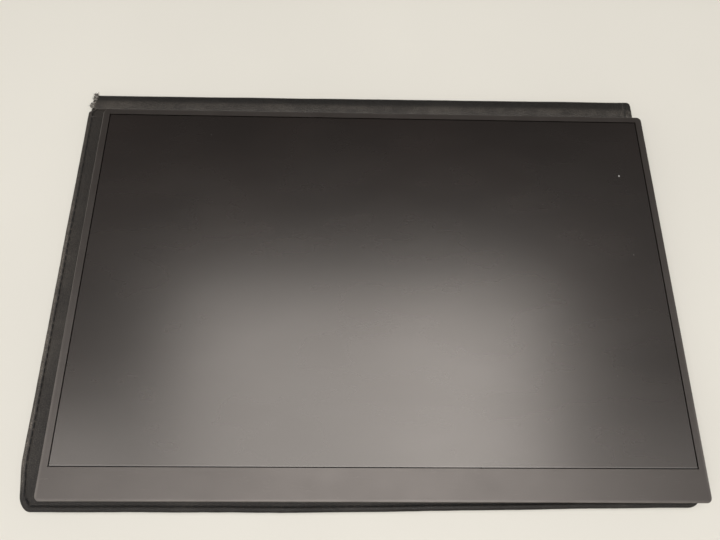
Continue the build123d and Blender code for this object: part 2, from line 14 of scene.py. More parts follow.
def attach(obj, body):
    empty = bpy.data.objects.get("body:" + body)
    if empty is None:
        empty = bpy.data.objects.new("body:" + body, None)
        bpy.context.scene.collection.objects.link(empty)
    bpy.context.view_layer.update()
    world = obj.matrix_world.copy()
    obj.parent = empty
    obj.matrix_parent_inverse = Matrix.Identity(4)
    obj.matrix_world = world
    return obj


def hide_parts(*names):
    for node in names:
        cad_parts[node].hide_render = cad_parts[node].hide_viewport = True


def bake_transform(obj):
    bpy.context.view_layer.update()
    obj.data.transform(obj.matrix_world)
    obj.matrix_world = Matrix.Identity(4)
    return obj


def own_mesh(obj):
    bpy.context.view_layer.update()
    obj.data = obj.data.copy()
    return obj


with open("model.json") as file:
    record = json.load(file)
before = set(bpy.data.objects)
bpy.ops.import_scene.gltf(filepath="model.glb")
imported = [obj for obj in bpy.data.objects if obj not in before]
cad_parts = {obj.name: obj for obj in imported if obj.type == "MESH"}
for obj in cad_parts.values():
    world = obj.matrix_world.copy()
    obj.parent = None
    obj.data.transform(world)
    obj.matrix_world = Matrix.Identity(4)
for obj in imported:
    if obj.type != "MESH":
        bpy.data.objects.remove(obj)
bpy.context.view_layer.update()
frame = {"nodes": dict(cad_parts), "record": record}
LOG = logging.getLogger("folio_monitor")
MM = 0.001
BLACK, WHITE = (0.0, 0.0, 0.0), (1.0, 1.0, 1.0)
ROUND, STRAIGHT = 0.5, 0.25  # Profiles of a bevelled corner: an arc or a straight cut.

Colour = tuple[float, float, float]
Point = tuple[float, float, float]
Span = tuple[float, float]
Four = tuple[float, float, float, float]
Element = Union[bmesh.types.BMVert, bmesh.types.BMEdge, bmesh.types.BMFace]
Number = Union[float, "Signal"]
Paint = Union[Colour, "Signal"]


def srgb(red: float, green: float, blue: float) -> Colour:
    """Turns a display colour of 0 to 255 a channel into a linear one, by the sRGB curve."""
    shares = (channel / 255 for channel in (red, green, blue))
    return tuple(s / 12.92 if s <= 0.04045 else ((s + 0.055) / 1.055) ** 2.4 for s in shares)


def smooth(low: float, high: float, value: float) -> float:
    """Eases a value to a share that goes from 0 at low to 1 at high."""
    share = min(1.0, max(0.0, (value - low) / (high - low)))
    return share * share * (3 - 2 * share)


def operator(operation: str, swapped: bool = False) -> Callable[["Signal", Number], "Signal"]:
    """Makes an operator of Signal that adds one Math node.

    Args:
        operation: The node's operation.
        swapped: Whether the other value comes first, as in the reflected forms.

    Returns:
        The operator.
    """

    def apply(this: "Signal", other: Number) -> "Signal":
        """Adds the node and hands back its result."""
        first, second = (other, this) if swapped else (this, other)
        return this.graph.node("ShaderNodeMath", {"operation": operation}, {0: first, 1: second})

    return apply


class Signal:
    """An output socket of a node tree, with arithmetic that adds Math nodes."""

    def __init__(self, graph: "Graph", socket: bpy.types.NodeSocket) -> None:
        """Wraps an output socket of a graph."""
        self.graph = graph
        self.socket = socket

    __add__, __radd__ = operator("ADD"), operator("ADD", True)
    __sub__, __rsub__ = operator("SUBTRACT"), operator("SUBTRACT", True)
    __mul__, __rmul__ = operator("MULTIPLY"), operator("MULTIPLY", True)
    __truediv__, __mod__ = operator("DIVIDE"), operator("FLOORED_MODULO")
    at_most, at_least = operator("MINIMUM"), operator("MAXIMUM")

    def __abs__(self) -> "Signal":
        """Drops the sign."""
        return self.graph.node("ShaderNodeMath", {"operation": "ABSOLUTE"}, {0: self})

    def ease(self, low: float, high: float, start: Number = 0.0, end: Number = 1.0) -> "Signal":
        """Eases from a start to an end value while this goes from low to high."""
        inputs = {0: self, 1: low, 2: high, 3: start, 4: end}
        return self.graph.node("ShaderNodeMapRange", {"interpolation_type": "SMOOTHSTEP"}, inputs)


class Graph:
    """A node tree that finishes and the world write their nodes into."""

    def __init__(self, tree: bpy.types.NodeTree) -> None:
        """Empties a node tree and takes it over."""
        self.tree = tree
        tree.nodes.clear()

    def put(self, socket: bpy.types.NodeSocket, value: Union[Number, Paint]) -> None:
        """Links or sets one input.

        Args:
            socket: The input socket.
            value: A signal, a number or a colour.
        """
        if isinstance(value, Signal):
            self.tree.links.new(value.socket, socket)
        elif socket.type == "RGBA":
            socket.default_value = (*value, 1.0)
        else:
            socket.default_value = value

    def node(self, kind: str, settings: dict, inputs: dict, output: Union[int, str] = 0) -> Signal:
        """Adds any node.

        Args:
            kind: The node's type.
            settings: Its properties.
            inputs: The values or signals of its sockets, by name or place.
            output: The output to hand back.

        Returns:
            That output.
        """
        made = self.tree.nodes.new(kind)
        for name, value in settings.items():
            setattr(made, name, value)
        for key, value in inputs.items():
            self.put(made.inputs[key], value)
        return Signal(self, made.outputs[output])

    def close(self, shader: Signal, kind: str) -> None:
        """Ends the tree with an output node of this kind."""
        self.tree.links.new(shader.socket, self.tree.nodes.new(kind).inputs["Surface"])

    def place(self, scale: Sequence[float] = (1.0, 1.0, 1.0), turn: float = 0.0) -> Signal:
        """Gives the point on the object in metres, stretched and turned about Z.

        Args:
            scale: The stretch along each axis.
            turn: The turn about Z, in degrees.

        Returns:
            The vector.
        """
        point = self.node("ShaderNodeTexCoord", {}, {}, "Object")
        turned = (0.0, 0.0, math.radians(turn))
        inputs = {"Vector": point, "Scale": Vector(scale), "Rotation": turned}
        return self.node("ShaderNodeMapping", {"vector_type": "POINT"}, inputs)

    def along(self, axis: str) -> Signal:
        """Gives one coordinate of the point on the object, in millimetres."""
        return self.node("ShaderNodeSeparateXYZ", {}, {0: self.place()}, axis) / MM

    def cloud(self, size: float, detail: float = 2.0, where: Optional[Signal] = None) -> Signal:
        """Adds a soft noise near 0.5, with lumps of this size in millimetres."""
        inputs = {"Vector": where or self.place(), "Scale": 1 / (size * MM), "Detail": detail}
        return self.node("ShaderNodeTexNoise", {}, inputs)

    def cells(self, size: float, feature: str = "F1", where: Optional[Signal] = None) -> Signal:
        """Adds cells of this size in millimetres and gives the feature's distance, in cells."""
        inputs = {"Vector": where or self.place(), "Scale": 1 / (size * MM)}
        return self.node("ShaderNodeTexVoronoi", {"feature": feature}, inputs, "Distance")

    def specks(self, spacing: float, shake: Span, rim: Span) -> Signal:
        """Scatters specks: 1 on them, 0 past their rim, which is in cells of the spacing."""
        return self.cells(spacing, "F1", self.shaken(*shake)).ease(*rim, 1.0, 0.0)

    def ridges(self, line: Signal, pitch: float) -> Signal:
        """Repeats a ramp along a line: 0 in the middle of each pitch, 0.5 at its ends."""
        return abs((line % pitch) - pitch / 2) / pitch

    def mix(self, first: Paint, second: Paint, share: Number) -> Signal:
        """Blends two colours by the share of the second one."""
        settings = {"data_type": "RGBA", "clamp_factor": True}
        return self.node("ShaderNodeMix", settings, {0: share, 6: first, 7: second}, 2)

    def layers(self, base: Paint, *coats: tuple[Paint, Number]) -> Paint:
        """Lays colours over a base, one after the other.

        Args:
            base: The colour under all of them.
            coats: Each colour with its share.

        Returns:
            The colour that shows.
        """
        for colour, share in coats:
            base = self.mix(base, colour, share)
        return base

    def shaken(self, size: float, reach: float) -> Signal:
        """Gives the object's point moved about by noise, so that a regular pattern turns uneven.

        Args:
            size: The size of the shakes in millimetres.
            reach: How far they go in millimetres.

        Returns:
            The moved point.
        """
        inputs = {"Vector": self.place(), "Scale": 1 / (size * MM), "Detail": 1.0}
        shake = self.node("ShaderNodeTexNoise", {}, inputs, "Color")
        reached = {0: shake, 1: (reach * MM,) * 3, 2: self.place()}
        return self.node("ShaderNodeVectorMath", {"operation": "MULTIPLY_ADD"}, reached)

    def marked(self, name: str) -> Signal:
        """Reads a value that the mesh carries at its points, 0 where it has none."""
        settings = {"attribute_type": "GEOMETRY", "attribute_name": name}
        return self.node("ShaderNodeAttribute", settings, {}, "Fac")


@dataclass
class Surface:
    """What a finish says about a surface, socket by socket."""

    colour: Paint
    roughness: Number = 0.5
    metallic: Number = 0.0
    height: Optional[Signal] = None
    depth: float = 0.05
    fixed: dict[str, Paint] = field(default_factory=dict)


@dataclass(frozen=True)
class Finish:
    """The base of all finishes: a name and the main colour."""

    name: str
    tone: Colour

    def paint(self, g: Graph) -> Surface:
        """Paints the surface with nodes of a graph."""
        raise NotImplementedError

    def dim(self, share: float, lift: float = 0.0) -> Colour:
        """Gives the main colour made darker or paler by a share, and lifted by a step."""
        return tuple(min(1.0, channel * share + lift) for channel in self.tone)

    def material(self) -> bpy.types.Material:
        """Makes the material once.

        Returns:
            The material, the same one each time.
        """
        known = bpy.data.materials.get(self.name)
        if known:
            return known
        made = bpy.data.materials.new(self.name)
        made.use_nodes = True
        g = Graph(made.node_tree)
        surface = self.paint(g)
        inputs = {
            "Base Color": surface.colour,
            "Roughness": surface.roughness,
            "Metallic": surface.metallic,
            **surface.fixed,
        }
        if surface.height:
            relief = {"Height": surface.height, "Distance": surface.depth * MM, "Strength": 1.0}
            inputs["Normal"] = g.node("ShaderNodeBump", {}, relief, "Normal")
        shader = g.node("ShaderNodeBsdfPrincipled", {}, inputs)
        g.close(shader, "ShaderNodeOutputMaterial")
        return made


@dataclass(frozen=True)
class Leatherette(Finish):
    """Coated leather cloth with a pebbled grain, worn pale along its rims, with a painted highlight
    and painted shade from the mesh's marks.
    """

    pale_tone: Colour = (0.1, 0.1, 0.1)
    grain: float = 0.85
    gloss: float = 0.46

    def paint(self, g: Graph) -> Surface:
        """Paints the surface.

        Args:
            g: The graph.

        Returns:
            The surface.
        """
        shaken = g.shaken(2.5, 0.5)
        edge = g.cells(self.grain, "DISTANCE_TO_EDGE", shaken)
        pebble = edge.ease(0.0, 0.28)
        pores = g.cells(self.grain * 0.3, "F1", shaken)
        lumps = g.cloud(7.0, 3.0)
        blotch = g.cloud(38.0, 3.0)
        creases = g.cloud(16.0, 5.0, g.place((1.0, 2.6, 1.0), 24.0))
        fine_crease = abs(creases - 0.5).ease(0.0, 0.022)
        # The rim mark: worn pale rims, paler frayed and rippled leather on the spine, and a painted
        # highlight on the spine's top near half.
        rim = g.marked("rim")
        pale_band = (rim * lumps.ease(0.25, 0.65, 0.45, 1.0)).at_most(1.0)
        dusty = blotch.ease(0.5, 0.76) * 0.07
        shade = g.layers(
            self.tone,
            (self.dim(0.42), 1 - pebble * (0.72 + lumps * 0.4)),
            (self.dim(0.6), (1 - fine_crease) * 0.3),
            (self.pale_tone, (pale_band * (0.3 + pebble * 0.7) + dusty).at_most(1.0)),
            # Painted shade from the mesh's mark: the hem's groove and outer edge, the near side,
            # the spine's far roll and its sewn fold.
            (self.dim(0.16), g.marked("gap")),
        )
        gloss = self.gloss + (0.5 - lumps) * 0.14 + (1 - pebble) * 0.14 - pale_band * 0.08
        height = pebble * 0.7 + pores * 0.14 + fine_crease * 0.18 + lumps * 0.5
        return Surface(shade, gloss, height=height, depth=0.09, fixed={"Specular IOR Level": 0.34})


@dataclass(frozen=True)
class NapCloth(Finish):
    """Short brushed nap, as on the folio's inner faces."""

    pale_tone: Colour = (0.1, 0.1, 0.1)

    def paint(self, g: Graph) -> Surface:
        """Paints the surface.

        Args:
            g: The graph.

        Returns:
            The surface.
        """
        nap = g.cloud(0.22, 3.0)
        brushed = g.cloud(14.0, 4.0, g.place((1.0, 0.3, 1.0), 12.0))
        lint = g.specks(5.5, (9.0, 3.0), (0.0, 0.06))
        shade = g.layers(
            self.dim(0.62),
            (self.tone, nap.ease(0.3, 0.7)),
            (self.pale_tone, brushed.ease(0.42, 0.8) * 0.1),
            (self.pale_tone, (lint * 0.5 + g.marked("rim") * 0.4).at_most(1.0)),
            # Painted shade from the mesh's mark, in the hem's groove, along its outer edge and
            # along the near side.
            (self.dim(0.16), g.marked("gap")),
        )
        gloss = 0.88 - brushed * 0.08
        fixed = {"Sheen Weight": 0.35, "Sheen Roughness": 0.5, "Specular IOR Level": 0.2}
        return Surface(shade, gloss, height=nap * 0.6 + brushed, depth=0.06, fixed=fixed)


@dataclass(frozen=True)
class MouldedPlastic(Finish):
    """Moulded plastic with an eroded spark texture, faint handling marks and, where a box is given,
    a painted highlight along its outer edges.
    """

    gloss: float = 0.5
    grain: float = 0.35
    relief: float = 0.02
    pale_tone: Colour = (0.3, 0.3, 0.3)
    wear: float = 0.3
    shine: float = 0.5
    tint: Colour = (1.0, 1.0, 1.0)
    pale_band: Optional[Four] = None
    highlight_fade: float = 150.0

    def edge(self, g: Graph) -> Number:
        """Paints a highlight in a band along the outer edges, where a rounded edge would catch the
        light.

        Args:
            g: The graph.

        Returns:
            1 at the outer edges, 0 away from them.
        """
        if not self.pale_band:
            return 0.0
        x0, x1, y0, y1 = self.pale_band
        across, up = g.along("X"), g.along("Y")
        reach = (across - x0).at_most(x1 - across).at_most(up - y0).at_most(y1 - up)
        # The painted highlight is broken up by noise and fades upwards from the bottom edge.
        patchy = g.cloud(22.0, 3.0).ease(0.28, 0.6, 0.3, 1.0)
        return reach.ease(0.3, 1.9, 1.0, 0.0) * (patchy * up.ease(y0, y0 + self.highlight_fade, 1.0, 0.12))

    def paint(self, g: Graph) -> Surface:
        """Paints the surface.

        Args:
            g: The graph.

        Returns:
            The surface.
        """
        spark = g.cells(self.grain, "SMOOTH_F1")
        fine = g.cloud(self.grain * 0.5, 2.0)
        smear = g.cloud(46.0, 4.0, g.place((1.0, 1.6, 1.0), 30.0))
        patch = g.cloud(11.0, 3.0)
        scuffs = g.cloud(9.0, 6.0, g.place((0.25, 3.0, 1.0), -18.0))
        scuff = abs(scuffs - 0.5).ease(0.0, 0.008, 1.0, 0.0) * patch.ease(0.5, 0.68)
        dust = g.specks(3.4, (6.0, 2.5), (0.02, 0.055))
        # Scuffs and dust are the plastic's own marks; the edge band is a painted highlight.
        marks = scuff * self.wear + dust * self.wear * 0.8 + self.edge(g) * 0.55
        shade = g.layers(
            self.dim(0.8),
            (self.dim(1.16), (spark * 0.5 + fine * 0.6).ease(0.2, 0.85)),
            (self.dim(0.82), smear.ease(0.42, 0.66) * 0.45),
            (self.pale_tone, marks.at_most(1.0)),
        )
        gloss = self.gloss + (smear - 0.5) * 0.16 + (patch - 0.5) * 0.06 + dust * 0.2
        fixed = {"Specular IOR Level": self.shine, "Specular Tint": self.tint}
        height = spark * 0.6 + fine * 0.5
        return Surface(shade, gloss, height=height, depth=self.relief, fixed=fixed)


@dataclass(frozen=True)
class RolledMetal(Finish):
    """Rolled, plated or drawn metal with fine streaks along one direction."""

    gloss: float = 0.34
    turn: float = 0.0
    stain: Colour = (0.2, 0.19, 0.18)

    def paint(self, g: Graph) -> Surface:
        """Paints the surface.

        Args:
            g: The graph.

        Returns:
            The surface.
        """
        streaks = g.cloud(0.5, 3.0, g.place((0.06, 1.0, 1.0), self.turn))
        bloom = g.cloud(18.0, 4.0)
        pits = g.specks(2.2, (3.0, 1.0), (0.03, 0.1)) * bloom.ease(0.5, 0.7)
        shade = g.layers(
            self.dim(0.8),
            (self.tone, streaks.ease(0.25, 0.7)),
            (self.stain, (bloom.ease(0.5, 0.8) * 0.3 + pits * 0.6).at_most(1.0)),
        )
        gloss = self.gloss + streaks * 0.16 + bloom * 0.1 + pits * 0.25
        return Surface(shade, gloss, 1.0 - pits * 0.5, height=streaks - pits * 0.6, depth=0.006)


@dataclass(frozen=True)
class MattFilm(Finish):
    """The screen's matt front film, with wipe marks, specks of dust and one larger mote."""

    dust: Colour = (0.42, 0.4, 0.38)
    mote: Span = (163.4, 68.0)
    mote_reach: float = 0.425
    low_edge: float = -107.85

    def paint(self, g: Graph) -> Surface:
        """Paints the surface.

        Args:
            g: The graph.

        Returns:
            The surface.
        """
        sparkle = g.cells(0.09, "F1")
        wipe = g.cloud(60.0, 4.0, g.place((1.0, 2.4, 1.0), 16.0))
        grey = g.cloud(85.0, 2.0)
        dots = g.specks(26.0, (15.0, 8.0), (0.004, 0.014))
        across, up = (g.along(axis) - place for axis, place in zip("XY", self.mote))
        mote = (across * across + up * up * 0.6).ease(0.05, self.mote_reach, 1.0, 0.0)
        seam = (g.along("Y") - self.low_edge).ease(0.3, 0.7, 1.0, 0.0)
        caught = seam * wipe.ease(0.3, 0.6, 0.5, 1.0)
        shade = g.layers(
            self.tone,
            (self.dim(1.4), grey.ease(0.4, 0.64)),
            (self.dust, (dots * 0.35 + mote * 0.8 + caught * 0.14).at_most(1.0)),
        )
        gloss = 0.27 + (wipe - 0.5) * 0.07 + mote * 0.3
        fixed = {"Specular IOR Level": 1.0, "Specular Tint": (1.0, 0.92, 0.85)}
        return Surface(shade, gloss, height=sparkle + wipe * 0.1, depth=0.0008, fixed=fixed)


@dataclass(frozen=True)
class ClearLayer(Finish):
    """Clear or frosted sheet, such as glass, films and the light guide."""

    frost: float = 0.1
    clear: float = 0.7
    dots: float = 1.2

    def paint(self, g: Graph) -> Surface:
        """Paints the surface.

        Args:
            g: The graph.

        Returns:
            The surface.
        """
        printed = g.cells(self.dots).ease(0.16, 0.2, 1.0, 0.0)
        haze = g.cloud(30.0, 3.0)
        shade = g.mix(self.tone, self.dim(1.25), printed)
        gloss = self.frost + haze * 0.08 + printed * 0.2
        fixed = {"Transmission Weight": self.clear, "IOR": 1.49}
        return Surface(shade, gloss, height=printed, depth=0.004, fixed=fixed)


@dataclass(frozen=True)
class CircuitBoard(Finish):
    """Solder mask with copper runs under it, plated holes and a bare rim."""

    run: Colour = (0.03, 0.12, 0.05)
    pad: Colour = (0.75, 0.55, 0.25)

    def paint(self, g: Graph) -> Surface:
        """Paints the surface.

        Args:
            g: The graph.

        Returns:
            The surface.
        """
        inputs = {"Vector": g.place(turn=90.0), "Scale": 90.0, "Color1": WHITE, "Color2": BLACK}
        inputs |= {"Mortar Size": 0.07, "Brick Width": 0.9, "Row Height": 0.14}
        blocks = g.node("ShaderNodeTexBrick", {"offset": 0.37, "squash": 1.6}, inputs, "Color")
        runs = g.node("ShaderNodeSeparateColor", {}, {0: blocks}).ease(0.3, 0.6)
        holes = g.cells(2.6, "F1")
        ring = holes.ease(0.09, 0.12, 1.0, 0.0) - holes.ease(0.04, 0.06, 1.0, 0.0)
        flux = g.cloud(8.0, 3.0)
        shade = g.layers(
            self.tone,
            (self.run, runs * 0.8),
            (self.pad, ring.at_least(0.0)),
            (self.dim(1.6), flux.ease(0.55, 0.7) * 0.3),
        )
        return Surface(shade, 0.32 + flux * 0.15, height=runs * 0.5 + ring, depth=0.02)


@dataclass(frozen=True)
class PressedBoard(Finish):
    """Grey pressed board with short fibres."""

    def paint(self, g: Graph) -> Surface:
        """Paints the surface.

        Args:
            g: The graph.

        Returns:
            The surface.
        """
        fibres = g.cloud(0.9, 6.0, g.place((0.25, 1.0, 1.0), 35.0))
        crossed = g.cloud(0.9, 6.0, g.place((1.0, 0.25, 1.0), 8.0))
        flecks = g.specks(1.8, (2.0, 1.2), (0.05, 0.14))
        woven = (self.tone, (fibres * crossed * 3.2).at_most(1.0))
        shade = g.layers(self.dim(0.7), woven, (self.dim(0.4), flecks * 0.5))
        return Surface(shade, 0.92 - fibres * 0.1, height=fibres + crossed, depth=0.04)


@dataclass(frozen=True)
class Rubbery(Finish):
    """Foam, rubber or soft pad with fine open pores and dust in them."""

    pores: float = 0.35
    gloss: float = 0.78
    shine: float = 0.5

    def paint(self, g: Graph) -> Surface:
        """Paints the surface.

        Args:
            g: The graph.

        Returns:
            The surface.
        """
        pore = g.cells(self.pores, "F1").ease(0.1, 0.4)
        bloom = g.cloud(10.0, 3.0)
        dusty = (self.dim(1.6, 0.004), bloom.ease(0.5, 0.72) * 0.4)
        shade = g.layers(self.dim(0.5), (self.tone, pore), dusty)
        gloss = self.gloss + bloom * 0.12
        fixed = {"Specular IOR Level": self.shine}
        return Surface(shade, gloss, height=pore + bloom, depth=0.03, fixed=fixed)


@dataclass(frozen=True)
class Stripes(Finish):
    """Laminated flat cable or film with its conductors showing through."""

    lines: Colour = (0.6, 0.4, 0.2)
    pitch: float = 1.0
    axis: str = "X"

    def paint(self, g: Graph) -> Surface:
        """Paints the surface.

        Args:
            g: The graph.

        Returns:
            The surface.
        """
        line = g.ridges(g.along(self.axis), self.pitch).ease(0.2, 0.26, 1.0, 0.0)
        haze = g.cloud(6.0, 3.0)
        shade = g.mix(self.tone, self.lines, line * (0.7 + haze * 0.3))
        return Surface(shade, 0.3 + haze * 0.12, height=line, depth=0.02)


@dataclass(frozen=True)
class Mesh(Finish):
    """Fine plain-woven acoustic cloth."""

    pitch: float = 0.32

    def paint(self, g: Graph) -> Surface:
        """Paints the surface.

        Args:
            g: The graph.

        Returns:
            The surface.
        """
        warp, weft = (
            g.ridges(g.along(axis), self.pitch).ease(0.16, 0.4, 1.0, 0.0) for axis in "XY"
        )
        thread = warp.at_least(weft)
        lint = g.cloud(2.0, 4.0).ease(0.55, 0.75)
        shade = g.layers(self.dim(0.2), (self.tone, thread), (self.dim(2.5), lint * 0.2))
        return Surface(shade, 0.85 - thread * 0.1, height=warp + weft, depth=0.05)


@dataclass(frozen=True)
class Yarn(Finish):
    """Twisted sewing thread or loose fibre."""

    twist: float = 0.5

    def paint(self, g: Graph) -> Surface:
        """Paints the surface.

        Args:
            g: The graph.

        Returns:
            The surface.
        """
        slant = g.along("X") + g.along("Y") + g.along("Z") * 1.7
        ply = g.ridges(slant, self.twist).ease(0.05, 0.4)
        fuzz = g.cloud(0.3, 3.0)
        shade = g.mix(self.dim(0.4), self.tone, ply * (0.6 + fuzz * 0.6))
        return Surface(shade, 0.72 - ply * 0.12, height=ply + fuzz * 0.4, depth=0.05)


@dataclass(frozen=True)
class TableTop(Finish):
    """Pale satin laminate that runs out into the pale backdrop."""

    backdrop: Colour
    runs_out: Span = (0.55, 1.7)

    def paint(self, g: Graph) -> Surface:
        """Paints the surface.

        Args:
            g: The graph.

        Returns:
            The surface.
        """
        drift = g.cloud(260.0, 3.0)
        fine = g.cloud(3.0, 3.0)
        shade = g.mix(self.dim(0.97), self.tone, drift.ease(0.35, 0.65))
        reach = g.node("ShaderNodeVectorMath", {"operation": "LENGTH"}, {0: g.place()}, "Value")
        far = reach.ease(*self.runs_out)
        fixed = {"Emission Color": g.mix(BLACK, self.backdrop, far), "Emission Strength": 1.0}
        gloss = 0.6 + fine * 0.05
        return Surface(g.mix(shade, BLACK, far), gloss, height=fine, depth=0.004, fixed=fixed)


class Tone(Enum):
    """The main colours, read from the photograph."""

    LEATHER = srgb(42, 36, 30)
    # Pale leather for worn rims and for the painted highlight on the spine.
    LEATHER_WORN_AND_LIT = srgb(130, 121, 110)
    LINING = srgb(47, 44, 40)
    THREAD = srgb(19, 18, 17)
    FRAY = srgb(232, 224, 212)
    BEZEL = srgb(29, 24, 21)
    HOUSING = srgb(44, 43, 42)
    FILM = srgb(17, 11, 9)
    FLOOR = srgb(224, 219, 208)
    BACKDROP = srgb(236, 233, 228)


LEATHER = Leatherette("folio_leatherette", Tone.LEATHER.value, pale_tone=Tone.LEATHER_WORN_AND_LIT.value)
LINING = NapCloth("folio_lining", Tone.LINING.value, pale_tone=srgb(110, 106, 100))
THREAD = Yarn("folio_thread", Tone.THREAD.value, twist=0.42)
FRAY = Yarn("frayed_yarn", Tone.FRAY.value, twist=0.9)
CRUMB = Leatherette("torn_leatherette", srgb(70, 66, 60), pale_tone=srgb(190, 182, 168), grain=0.4)
FINISHES: dict[str, Finish] = {
    "leatherette": LEATHER,
    "lining": LINING,
    "board": PressedBoard("pressed_board", srgb(140, 134, 122)),
    "magnet": RolledMetal("magnet_nickel", srgb(190, 188, 184), gloss=0.26),
    "housing": MouldedPlastic(
        "housing_plastic", Tone.HOUSING.value, gloss=0.56, grain=0.45, relief=0.03
    ),
    "bezel": MouldedPlastic(
        "bezel_plastic",
        Tone.BEZEL.value,
        gloss=0.37,
        grain=0.3,
        relief=0.014,
        # The pale colour serves the scuffs, the dust and the painted edge highlight.
        pale_tone=srgb(98, 93, 88),
        wear=0.2,
        shine=1.0,
        tint=(1.0, 0.9, 0.83),
        # Box of the painted highlight along the bezel's outer edges.
        pale_band=(-169.875, 184.425, -125.15, 112.05),
    ),
    "chassis": RolledMetal("chassis_aluminium", srgb(176, 178, 180), gloss=0.4, turn=90.0),
    "steel": RolledMetal("strip_steel", srgb(150, 152, 156), gloss=0.3),
    "screw": RolledMetal("screw_black_zinc", srgb(58, 58, 60), gloss=0.36),
    "screen_film": MattFilm("screen_matt_film", Tone.FILM.value),
    "glass": ClearLayer("panel_glass", srgb(30, 32, 36), frost=0.04, clear=0.4, dots=0.9),
    "optical_film": ClearLayer(
        "diffuser_films", srgb(226, 228, 230), frost=0.45, clear=0.5, dots=0.5
    ),
    "light_guide": ClearLayer(
        "light_guide_acrylic", srgb(225, 232, 232), frost=0.08, clear=0.85, dots=1.6
    ),
    "reflector": MouldedPlastic(
        "reflector_white", srgb(226, 226, 222), gloss=0.5, grain=0.6, relief=0.01
    ),
    "tray": RolledMetal("tray_steel", srgb(120, 122, 124), gloss=0.4),
    "gasket": Rubbery("seam_foam", srgb(9, 8, 8), pores=0.4, gloss=0.85, shine=0.1),
    "circuit": CircuitBoard("solder_mask", srgb(16, 62, 36)),
    "chip": MouldedPlastic("chip_epoxy", srgb(28, 28, 30), gloss=0.6, grain=0.2, relief=0.01),
    "pad": Rubbery("thermal_pad_grey", srgb(120, 134, 150), pores=0.8),
    "shell_metal": RolledMetal("socket_shell", srgb(186, 186, 184), gloss=0.24),
    "tongue": MouldedPlastic(
        "socket_tongue", srgb(22, 22, 24), gloss=0.42, grain=0.2, relief=0.006
    ),
    "plug": MouldedPlastic(
        "connector_nylon", srgb(206, 198, 178), gloss=0.44, grain=0.3, relief=0.01
    ),
    "flat_cable": Stripes(
        "flat_cable_laminate", srgb(214, 214, 210), lines=srgb(150, 146, 138), pitch=1.0
    ),
    "flex": Stripes("glass_flex_film", srgb(38, 27, 18), lines=srgb(74, 52, 28), pitch=0.5),
    "jack": MouldedPlastic("jack_nylon", srgb(24, 24, 25), gloss=0.4, grain=0.25, relief=0.008),
    "key": MouldedPlastic("key_plastic", srgb(54, 53, 52), gloss=0.42, grain=0.22, relief=0.01),
    "speaker": MouldedPlastic("speaker_frame", srgb(34, 34, 35), gloss=0.5, grain=0.3, relief=0.01),
    "cone": PressedBoard("speaker_cone_paper", srgb(40, 38, 36)),
    "cloth": Mesh("grille_cloth_weave", srgb(46, 46, 47)),
    "lead": Yarn("lead_insulation", srgb(150, 28, 24), twist=3.0),
}


def bell(value: float, centre: float, width: float) -> float:
    """Gives 1 at the centre, and falls off on both sides of it over this width."""
    return math.exp(-(((value - centre) / width) ** 2))


def lump(x: float, y: float, z: float) -> float:
    """Reads smooth noise that runs from about -1 to 1, with lumps about 1 across."""
    return noise.noise(Vector((x, y, z)))


def picked(made: Sequence[Element], kind: type) -> list[Element]:
    """Picks the items of one kind out of what an operator made."""
    return [item for item in made if isinstance(item, kind)]


def round_corner(
    bm: bmesh.types.BMesh,
    corner: bmesh.types.BMVert,
    reach: float,
    steps: int,
    profile: float = ROUND,
) -> None:
    """Bevels one corner of a flat outline, as far as this reach along both sides."""
    shape = {"segments": steps, "profile": profile, "affect": "VERTICES", "material": -1}
    bmesh.ops.bevel(bm, geom=[corner], offset=reach, offset_type="OFFSET", **shape)


def add_object(name: str, data: bpy.types.ID) -> bpy.types.Object:
    """Puts a new object into the scene.

    Args:
        name: Its name.
        data: Its mesh, camera or light.

    Returns:
        The object.
    """
    made = bpy.data.objects.new(name, data)
    bpy.context.scene.collection.objects.link(made)
    return made


@dataclass(frozen=True)
class Plan:
    """A rectangle seen from above, with the share of an inset that its near and far side take."""

    x0: float
    x1: float
    y0: float
    y1: float
    near_share: float = 1.0
    far_share: float = 1.0

    def shrunk(self, inset: float) -> Four:
        """Gives the rectangle drawn in by an inset, less so at a side that is a crease."""
        low, high = self.y0 + inset * self.near_share, self.y1 - inset * self.far_share
        return (self.x0 + inset, self.x1 - inset, low, high)


@dataclass(frozen=True)
class Ring:
    """One closed line of a wrap: its inset, level, corners and marks for the finish."""

    inset: float
    level: float
    near_corner: float
    far_corner: float
    near_profile: float = ROUND
    rim: float = 0.0
    # Painted shade on this ring.
    gap: float = 0.0


